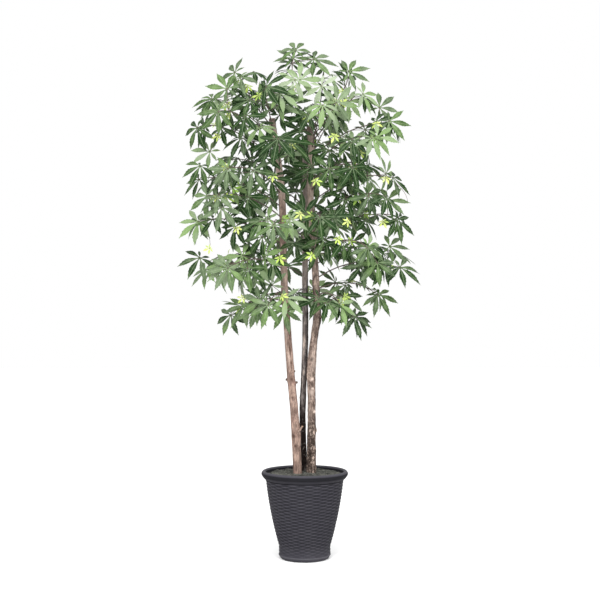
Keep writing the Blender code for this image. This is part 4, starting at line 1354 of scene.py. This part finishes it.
def draw_leaflets(draw, kind):
    size = draw.uniform(*kind["length"])
    droop = draw.uniform(*LEAF_DROOP)
    bend = draw.uniform(*kind["bend"])
    return [
        (
            radians(angle + draw.uniform(*ANGLE_OFF)),
            size * share * draw.uniform(*LENGTH_OFF),
            radians(droop + draw.uniform(*BEND_OFF)),
            radians(bend + draw.uniform(*BEND_OFF)),
        )
        for angle, share in kind["leaflets"]
    ]


def proposed_leaf(draw, spray, parts, t, handed, kind, attempt):
    """One way to hold a leaf off its stem. Later attempts stray further from the usual one."""
    trunk, row, sway = spray["trunk"], spray["row"], spray["sway"]
    base = on_stem(spray["line"], t)
    tangent = stem_point(trunk, row, sway, t + 0.01) - stem_point(trunk, row, sway, t - 0.01)
    spread = spray.get("loose", 1.0) + TRY_SPREAD * attempt
    if handed == 0:
        turn = radians(draw.uniform(-TIP_TURN, TIP_TURN) * spread)
        length = draw.uniform(*TIP_STALK_LENGTH)
    else:
        turn = handed * radians(draw.uniform(*STALK_TURN)) * (1 + TURN_SPREAD * attempt)
        length = draw.uniform(*kind["stalk"])
    away = tangent.normalized() * cos(turn) - spray["side"] * sin(turn)
    away = (away + UP * draw.uniform(*STALK_RISE)).normalized()
    level = Vector((base.x, base.y, 0))
    out = level.normalized() if level.length > CENTRAL else FRONT
    nearness = min(max((NEAR_HALF[0] - (base + away * length).y) / NEAR_HALF[1], 0.0), 1.0)
    scatter = Vector([draw.uniform(-1, 1) for _ in range(3)]) * FACE_SCATTER * spread
    face = (UP * FACE_UP + out * FACE_OUT + FRONT * FACE_VIEWER * nearness + scatter).normalized()
    want = away * GOES_ON - UP * (draw.uniform(*kind["hang"]) - spray.get("lift", 0.0))
    ahead = (want - face * want.dot(face)).normalized()
    along = (away + ahead * STALK_BENDS).normalized()
    return {
        "root": base, "frame": leaf_frame(base + along * length, ahead, face), "leaflets": parts,
        "kind": kind,
        "held_well": along.dot(ahead) > LEAST_AHEAD
        and along.dot(ahead * ROUND_WAY[0] + face * ROUND_WAY[1]) > LEAST_ROUND,
    }


def tree_of(shape):
    return BVHTree.FromPolygons([tuple(point) for point in shape[0]], shape[1], epsilon=CLEARANCE)


def fits(name, blade, stalk, hub, solids):
    """True if a leaf's blade and stalk are clear of everything but the stem that bears them."""
    for owner, kind, place, tree in solids:
        if kind == "leaf" and (place - hub).length > LEAF_REACH:
            continue
        own_base = owner == name and kind != "trunk"
        if blade.overlap(tree) or (stalk.overlap(tree) and not own_base):
            return False
    return True


def settled(spray, solids, leaf):
    """Adds a leaf to its spray if there is room for it."""
    blade, stalk, free = leaf_shapes(leaf)
    blade_tree, stalk_tree = tree_of(blade), tree_of(stalk)
    hub = leaf["frame"].translation
    if tree_of(free).overlap(blade_tree) or not fits(spray["name"], blade_tree, stalk_tree, hub, solids):
        return False
    spray["leaves"].append(leaf)
    solids.append(("", "leaf", hub, blade_tree))
    solids.append((spray["name"], "leaf", hub, stalk_tree))
    return True


def hides_trunk(leaf):
    """True if a leaf's middle lies before a stretch of trunk that is seen through the crown."""
    middle, eye = leaf["frame"] @ Vector((0, GROWN["length"][0] / 2, 0)), Vector(CAMERA_PLACE)
    for trunk, low, high in SEEN_TRUNKS:
        centre = trunk_at(trunk, min(max(middle.z, low), high))[0]
        seen = eye + (middle - eye) * (centre.y - eye.y) / (middle.y - eye.y)
        apart = hypot(seen.x - centre.x, max(low - seen.z, 0, seen.z - high))
        if middle.y < centre.y and apart < SEEN_BESIDE:
            return True
    return False


def place_leaf(draw, spray, solids, t, handed, kind, filling=False):
    """A leaf at a share of a stem, on its tip or on one side. It is left out if it finds no room."""
    parts = draw_leaflets(draw, kind)
    for attempt in range(PLACING_TRIES):
        leaf = proposed_leaf(draw, spray, parts, t, handed, kind, attempt)
        if leaf["held_well"] and not (filling and hides_trunk(leaf)) and settled(spray, solids, leaf):
            return


def grow():
    """Every spray with its stem and the leaves that found room clear of all others."""
    draw = random.Random(SEED)
    sprays, solids = [], []
    for trunk, rows in SPRAYS.items():
        rings = [trunk_ring(*trunk_at(trunk, min(z, TRUNKS[trunk][-1][2]))) for z in CROWN_RINGS]
        solids.append(("", "trunk", Vector(), tree_of(joined_rings(rings))))
        for k, row in enumerate(rows):
            sway = draw.uniform(-STEM_SWAY, STEM_SWAY)
            points, radii, side, top = stem_line(trunk, row, sway)
            name = f"spray_{trunk}_{k + 1:02d}"
            free = slim_tube(points[1:], radii[1:], side, top)
            solids.append((name, "stem", Vector(), tree_of(free)))
            sprays.append({
                "name": name, "trunk": trunk, "row": row, "sway": sway, "side": side,
                "line": points, "leaves": [],
            })
    for spray in sprays:
        place_leaf(draw, spray, solids, TIP_PLACE, 0, GROWN)
        handed, along_stem = draw.choice((-1, 1)), spray["row"][4] - 1
        for k in range(along_stem):
            share = k / max(along_stem - 1, 1)
            t = LAST_LEAF + (FIRST_LEAF - LAST_LEAF) * share
            place_leaf(draw, spray, solids, t, handed, GROWN)
            handed = -handed
        place_leaf(draw, spray, solids, draw.uniform(*YOUNG_PLACE), handed, YOUNG)
    return sprays, solids


def seen_leaf(draw, sprays, solids, row, kind):
    """A leaf with a given place and look, borne by the nearest stem that it can hang from."""
    x, z, depth, heading, looks_up, tone = row
    eye = Vector(CAMERA_PLACE)
    turn = radians(heading)
    pointed = Vector((cos(turn), 0, sin(turn)))
    face = (FRONT + UP * looks_up).normalized()
    ahead = (pointed - face * pointed.dot(face)).normalized()
    parts = draw_leaflets(draw, kind)
    for attempt in range(PLACING_TRIES):
        behind = depth + SEEN_STEP * attempt * (-1) ** attempt
        hub = eye + (Vector((x, 0, z)) - eye) * (1 - behind / eye.y)
        roots = sorted(
            ((on_stem(spray["line"], t) - hub).length, k, t)
            for k, spray in enumerate(sprays) for t in SEEN_ROOTS
        )
        for _, k, t in roots[:SEEN_CHOICES]:
            root = on_stem(sprays[k]["line"], t)
            leaf = {
                "root": root, "frame": leaf_frame(hub, ahead, face), "leaflets": parts,
                "kind": kind, "tone": tone,
            }
            if (hub - root).normalized().dot(ahead) > LEAST_AHEAD and settled(sprays[k], solids, leaf):
                return


def fill_out(sprays, solids):
    """More leaves between those of the model, on the same stems and clear of all that is there."""
    draw = random.Random(MORE_SEED)
    for row in SEEN_LEAVES:
        seen_leaf(draw, sprays, solids, row, GROWN)
    for row in SEEN_YOUNG:
        look = (draw.uniform(200, 340), draw.uniform(0.1, 0.6), draw.uniform(0.48, 0.98))
        seen_leaf(draw, sprays, solids, (*row, *look), YOUNG)
    for spray in sprays:
        spray["loose"] = MORE_LOOSE
    for count, first, last in (MORE_OUTER, MORE_INNER):
        for spray in sprays:
            handed = draw.choice((-1, 1))
            for _ in range(count - sum(spray["row"][0] < height for height in FEWER_BELOW)):
                spray["lift"] = draw.uniform(0, LIFTED)
                place_leaf(draw, spray, solids, draw.uniform(first, last), handed, GROWN, True)
                handed = -handed


# The fine leaves.


def make_leaflet(face, back):
    """One flat leaflet, 1 long: a grid whose rows are scaled to a lance shape, with teeth along
    its edges and a thin underside. Every leaflet is a copy of it."""
    leaflet = added(
        "leaflet", bpy.ops.mesh.primitive_grid_add, x_subdivisions=LEAFLET_COLUMNS,
        y_subdivisions=LEAFLET_ROWS, size=1, location=(0, 0.5, 0),
    )
    dress(leaflet, face, back)
    begin(leaflet)
    pick(leaflet, "EDGE", lambda middle, edge: abs(middle.x) > 0.49 and middle.y > TOOTHED_FROM)
    bpy.ops.mesh.subdivide(number_cuts=1)
    for row in range(2 * LEAFLET_ROWS + 1):
        along = row / (2 * LEAFLET_ROWS)
        if not pick(leaflet, "VERT", lambda middle, vertex: abs(middle.y - along) < 1e-4):
            continue
        power, blunt, pointed = LEAFLET_SWELL
        half = FINE_WIDTH * max(sin(pi * along**power), 0) ** (blunt if along < 0.55 else pointed)
        base = FINE_WIDTH * LEAFLET_BASE * (1 - along / 0.36)
        half = max(half * (TOOTH_OUT if row % 2 else 1.0), base, 1e-5)
        bpy.ops.transform.resize(value=(2 * half, 1, 1), center_override=(0, along, 0))
    pick(leaflet, "VERT", lambda middle, vertex: round(middle.y * 2 * LEAFLET_ROWS) % 2 == 1)
    move(0, TOOTH_FORWARD, 0)
    pick(leaflet, "VERT", lambda middle, vertex: 1e-3 < abs(middle.x) and not vertex.is_boundary)
    move(0, 0, LEAF_PUCKER)
    select_all()
    bpy.ops.mesh.duplicate()
    bpy.ops.mesh.flip_normals()
    leaflet.active_material_index = 1
    bpy.ops.object.material_slot_assign()
    move(0, 0, -1)
    pick(leaflet, "VERT", lambda middle, vertex: middle.z < -0.5 and vertex.is_boundary)
    move(0, 0, 1)
    pick(leaflet, "VERT", lambda middle, vertex: middle.z < -0.5)
    move(0, 0, 1 - LEAF_SHEET)
    select_all()
    bpy.ops.mesh.remove_doubles(threshold=1e-4)
    pick(
        leaflet, "EDGE",
        lambda middle, edge: all(f.material_index == 1 for f in edge.link_faces)
        and all(abs(v.co.x) > 1e-3 and all(f.material_index == 1 for f in v.link_faces) for v in edge.verts),
    )
    bpy.ops.mesh.dissolve_edges(use_verts=True)
    end()
    flat = leaflet.data.uv_layers.new(name="leaflet")
    for loop in leaflet.data.loops:
        place = leaflet.data.vertices[loop.vertex_index].co
        flat.data[loop.index].uv = (place.x + 0.5, place.y)
    leaflet.data.attributes.new("tone", "FLOAT", "POINT")
    smooth_finish(leaflet, 60)
    return leaflet


def bent(points, angle, length, droop, bend, fold, shape):
    """The leaflet's points on its leaf: bent down along its rib and folded a little along it, with
    a light sweep, twist and ripple of its own."""
    sweep, twist, ripple, phase = shape
    share = np.clip(points[:, 1], 0, 1.05)
    turned = droop + bend * share
    reach = length * (np.sin(turned) - sin(droop)) / bend
    fall = length * (np.cos(turned) - cos(droop)) / bend
    across = points[:, 0] * length
    lift = fold * np.abs(across) + twist * across * share + points[:, 2] * length
    lift += ripple * length * np.sin(RIPPLES * share + phase) * np.abs(points[:, 0]) / FINE_WIDTH
    across = across + sweep * length * share * share
    x = sin(angle) * reach + cos(angle) * across
    y = cos(angle) * reach - sin(angle) * across
    return np.stack([x, y, fall + lift], axis=1)


def drawn_tone(leaf, draw):
    """How pale a leaf is: a few are pale at random, and all get painted light outwards, upwards and
    right below, so the inner ones keep painted shade.
    """
    tone = draw.uniform(*(TONE_PALE if draw.random() < PALE_SHARE else TONE_USUAL))
    hub = leaf["frame"].translation
    painted_light_rises = ((hypot(hub.x, hub.y), PAINTED_LIGHT_OUT), (hub.z, PAINTED_LIGHT_UP), (hub.z, PAINTED_LIGHT_DOWN))
    for value, (low, high, most) in painted_light_rises:
        tone += most * min(max((value - low) / (high - low), 0), 1)
    return min(tone, PALEST)


def leaf_copies(leaf, set_tone, leaflet, points, draw, young_finish):
    """One leaf as copies of the leaflet, each with its own mesh."""
    kind, parts = leaf["kind"], list(leaf["leaflets"])
    usual = sum(part[1] for part in parts) / len(parts)
    droop, bend = parts[0][2], parts[0][3]
    parts += [
        (
            radians(angle + draw.uniform(*BACK_ANGLE_OFF)),
            usual * share * draw.uniform(*BACK_LENGTH_OFF), droop, bend,
        )
        for angle, share in kind["back"]
    ]
    tone = leaf["tone"] if "tone" in leaf else drawn_tone(leaf, draw)
    tone = tone if set_tone is None else set_tone
    turn = np.array(leaf["frame"])
    made = []
    for angle, length, droop, bend in parts:
        shape = (
            draw.uniform(-LEAF_SWEEP, LEAF_SWEEP), draw.uniform(-LEAF_TWIST, LEAF_TWIST),
            draw.uniform(*RIPPLE_SHARE) * LEAF_RIPPLE, draw.uniform(*RIPPLE_PHASE),
        )
        flat = points * (kind["width"], 1, 1)
        placed = bent(flat, angle, length, droop, bend, LEAF_FOLD, shape) @ turn[:3, :3].T + turn[:3, 3]
        mesh = leaflet.data.copy()
        write_points(mesh, placed)
        own = min(max(tone + draw.uniform(-TONE_SPREAD, TONE_SPREAD), 0), MOST_TONE)
        mesh.attributes["tone"].data.foreach_set("value", [own] * len(mesh.vertices))
        if kind is YOUNG:
            mesh.materials[0] = mesh.materials[1] = young_finish
        made.append(linked("leaflet copy", mesh))
    return made


def stalk_run(spray, leaf):
    """The stalk's curve from a collar on the stem to the underside of the leaf's hub."""
    frame, radius = leaf["frame"], leaf["kind"]["stalk_radius"]
    hub = frame @ Vector(STALK_END)
    root = leaf["root"]
    straight = hub - root
    reach = straight.length * STALK_CURVE
    ahead = frame.to_3x3() @ Vector((0, 1, 0))
    stem_way = (spray["line"][-1] - spray["line"][1]).normalized()
    leave = root + (straight.normalized() + STALK_LEAVES * stem_way).normalized() * reach
    arrive = hub - (straight.normalized() + STALK_ARRIVES * ahead).normalized() * reach
    points = geometry.interpolate_bezier(root, leave, arrive, hub, STALK_POINTS)
    swell = [STALK_COLLAR, STALK_NECK] + [1.0] * (STALK_POINTS - 2)
    return points, [radius * share for share in swell], leaf["kind"]["finishes"][0]


def hub_run(leaf):
    """A small moulded button in the middle of a leaf, which holds its leaflets."""
    size = leaf["kind"]["button"]
    points = [leaf["frame"] @ Vector((0, 0, height * size)) for height in HUB_HEIGHTS]
    return points, [width * size for width in HUB_WIDTHS], leaf["kind"]["finishes"][1]


def stem_run(spray):
    """The stem's smooth curve from inside its hole to its tip."""
    row = (spray["trunk"], spray["row"], spray["sway"])
    shares = [k / (STEM_POINTS - 1) for k in range(1, STEM_POINTS)]
    points = [*spray["line"][:2], *(stem_point(*row, share) for share in shares)]
    radii = [STEM_ROOT_RADIUS + (STEM_TIP_RADIUS - STEM_ROOT_RADIUS) * share for share in (0, 0, *shares)]
    radii[-1] *= 0.7
    return points, radii, 0


def build_spray(spray, leaflet, points, draw, finishes):
    """A spray's leaves, and its stem with their stalks."""
    copies = []
    for k, leaf in enumerate(spray["leaves"]):
        set_tone = SET_TONES.get((spray["name"], k))
        copies += leaf_copies(leaf, set_tone, leaflet, points, draw, finishes["young_leaf"])
    leaves = joined(copies, spray["name"].replace("spray", "leaves"))
    stands_for(leaves, "foliage", spray["name"])
    runs = [stem_run(spray)]
    for leaf in spray["leaves"]:
        runs += [stalk_run(spray, leaf), hub_run(leaf)]
    if spray["name"] == BARE_TWIG[0]:
        bends = (Vector(point) for point in BARE_TWIG[1:])
        twig = geometry.interpolate_bezier(runs[0][0][-1], *bends, TWIG_POINTS)
        runs.append((twig, [STEM_TIP_RADIUS * (0.75 - 0.03 * k) for k in range(TWIG_POINTS)], 0))
    stems = tubes(
        spray["name"].replace("spray", "stems"), runs,
        [finishes["stem"], finishes["young_stalk"], finishes["hub"]],
    )
    stands_for(stems, "foliage", spray["name"])


def build_foliage(finishes):
    sprays, solids = grow()
    fill_out(sprays, solids)
    leaflet = make_leaflet(finishes["leaf"], finishes["leaf_back"])
    points = read_points(leaflet.data)
    draw = random.Random(FINE_SEED)
    for spray in sprays:
        build_spray(spray, leaflet, points, draw, finishes)
    bpy.data.objects.remove(leaflet, do_unlink=True)


# Camera, light and floor.


def lamp(name, kind, way, **settings):
    """A light that shines along a direction."""
    light = bpy.data.lights.new(name, kind)
    for key, value in settings.items():
        setattr(light, key, value)
    obj = linked(name, light)
    obj.rotation_euler = Vector(way).to_track_quat("-Z", "Y").to_euler()
    return obj


def build_studio():
    floor = added("floor", bpy.ops.mesh.primitive_plane_add, size=FLOOR_SIZE)
    finish, tree, shader, place = new_finish("pale_floor", 0.9, 0.2)
    spots = use_group(tree, MOTTLE, Vector=place, Scale=1.5)
    colour_in(tree, shader, mixed(tree, spots["Patches"], (0.93, 0.93, 0.93), (0.95, 0.95, 0.95)))
    dress(floor, finish)
    world = bpy.data.worlds.new("studio")
    bpy.context.scene.world = world
    world.use_nodes = True
    sky = world.node_tree.nodes["Background"].inputs
    sky["Color"].default_value = (1, 1, 1, 1)
    sky["Strength"].default_value = WORLD_LIGHT
    for name, place, size, power in SOFT_LIGHTS:
        way, shape = Vector(LIT_PLACE) - Vector(place), {"shape": "RECTANGLE", "size": size}
        lamp(name, "AREA", way, **shape, size_y=size, energy=power).location = place
    way, energy, angle = HIGH_LIGHT
    lamp("high light", "SUN", way, energy=energy, angle=angle)
    camera = bpy.data.cameras.new("camera")
    camera.lens = CAMERA_LENS
    camera.sensor_width = SENSOR
    camera.clip_end = 200
    obj = linked("camera", camera)
    obj.location = CAMERA_PLACE
    obj.rotation_euler = (CAMERA_TILT, 0, 0)
    bpy.context.scene.camera = obj
    bpy.context.scene.view_settings.view_transform = "Standard"


def main():
    build_studio()
    build_planter(planter_finish())
    plain = {name: spotted_finish(name, *stuff) for name, stuff in STUFFS.items()}
    build_moss(plain["dried_moss"], plain["dried_moss_strands"])
    cut_wood = cut_wood_finish()
    for trunk, colours in BARK_COLOURS.items():
        build_trunk(trunk, bark_finish(*colours), cut_wood)
    frame["nodes"]["cast_weight"].data.materials[0] = plain["cast_mortar"]
    frame["nodes"]["filler_disc"].data.materials[0] = plain["pressed_board"]
    build_foliage({
        "leaf": leaf_finish("leaf_cloth", *LEAF_COLOURS["face"], 0.55),
        "leaf_back": leaf_finish("leaf_cloth_back", *LEAF_COLOURS["back"], 0.65),
        "young_leaf": leaf_finish("young_leaf_cloth", *LEAF_COLOURS["young"], 0.55),
        "stem": plain["wrapped_stem"], "young_stalk": plain["wrapped_young_stalk"],
        "hub": plain["leaf_hub"],
    })


main()
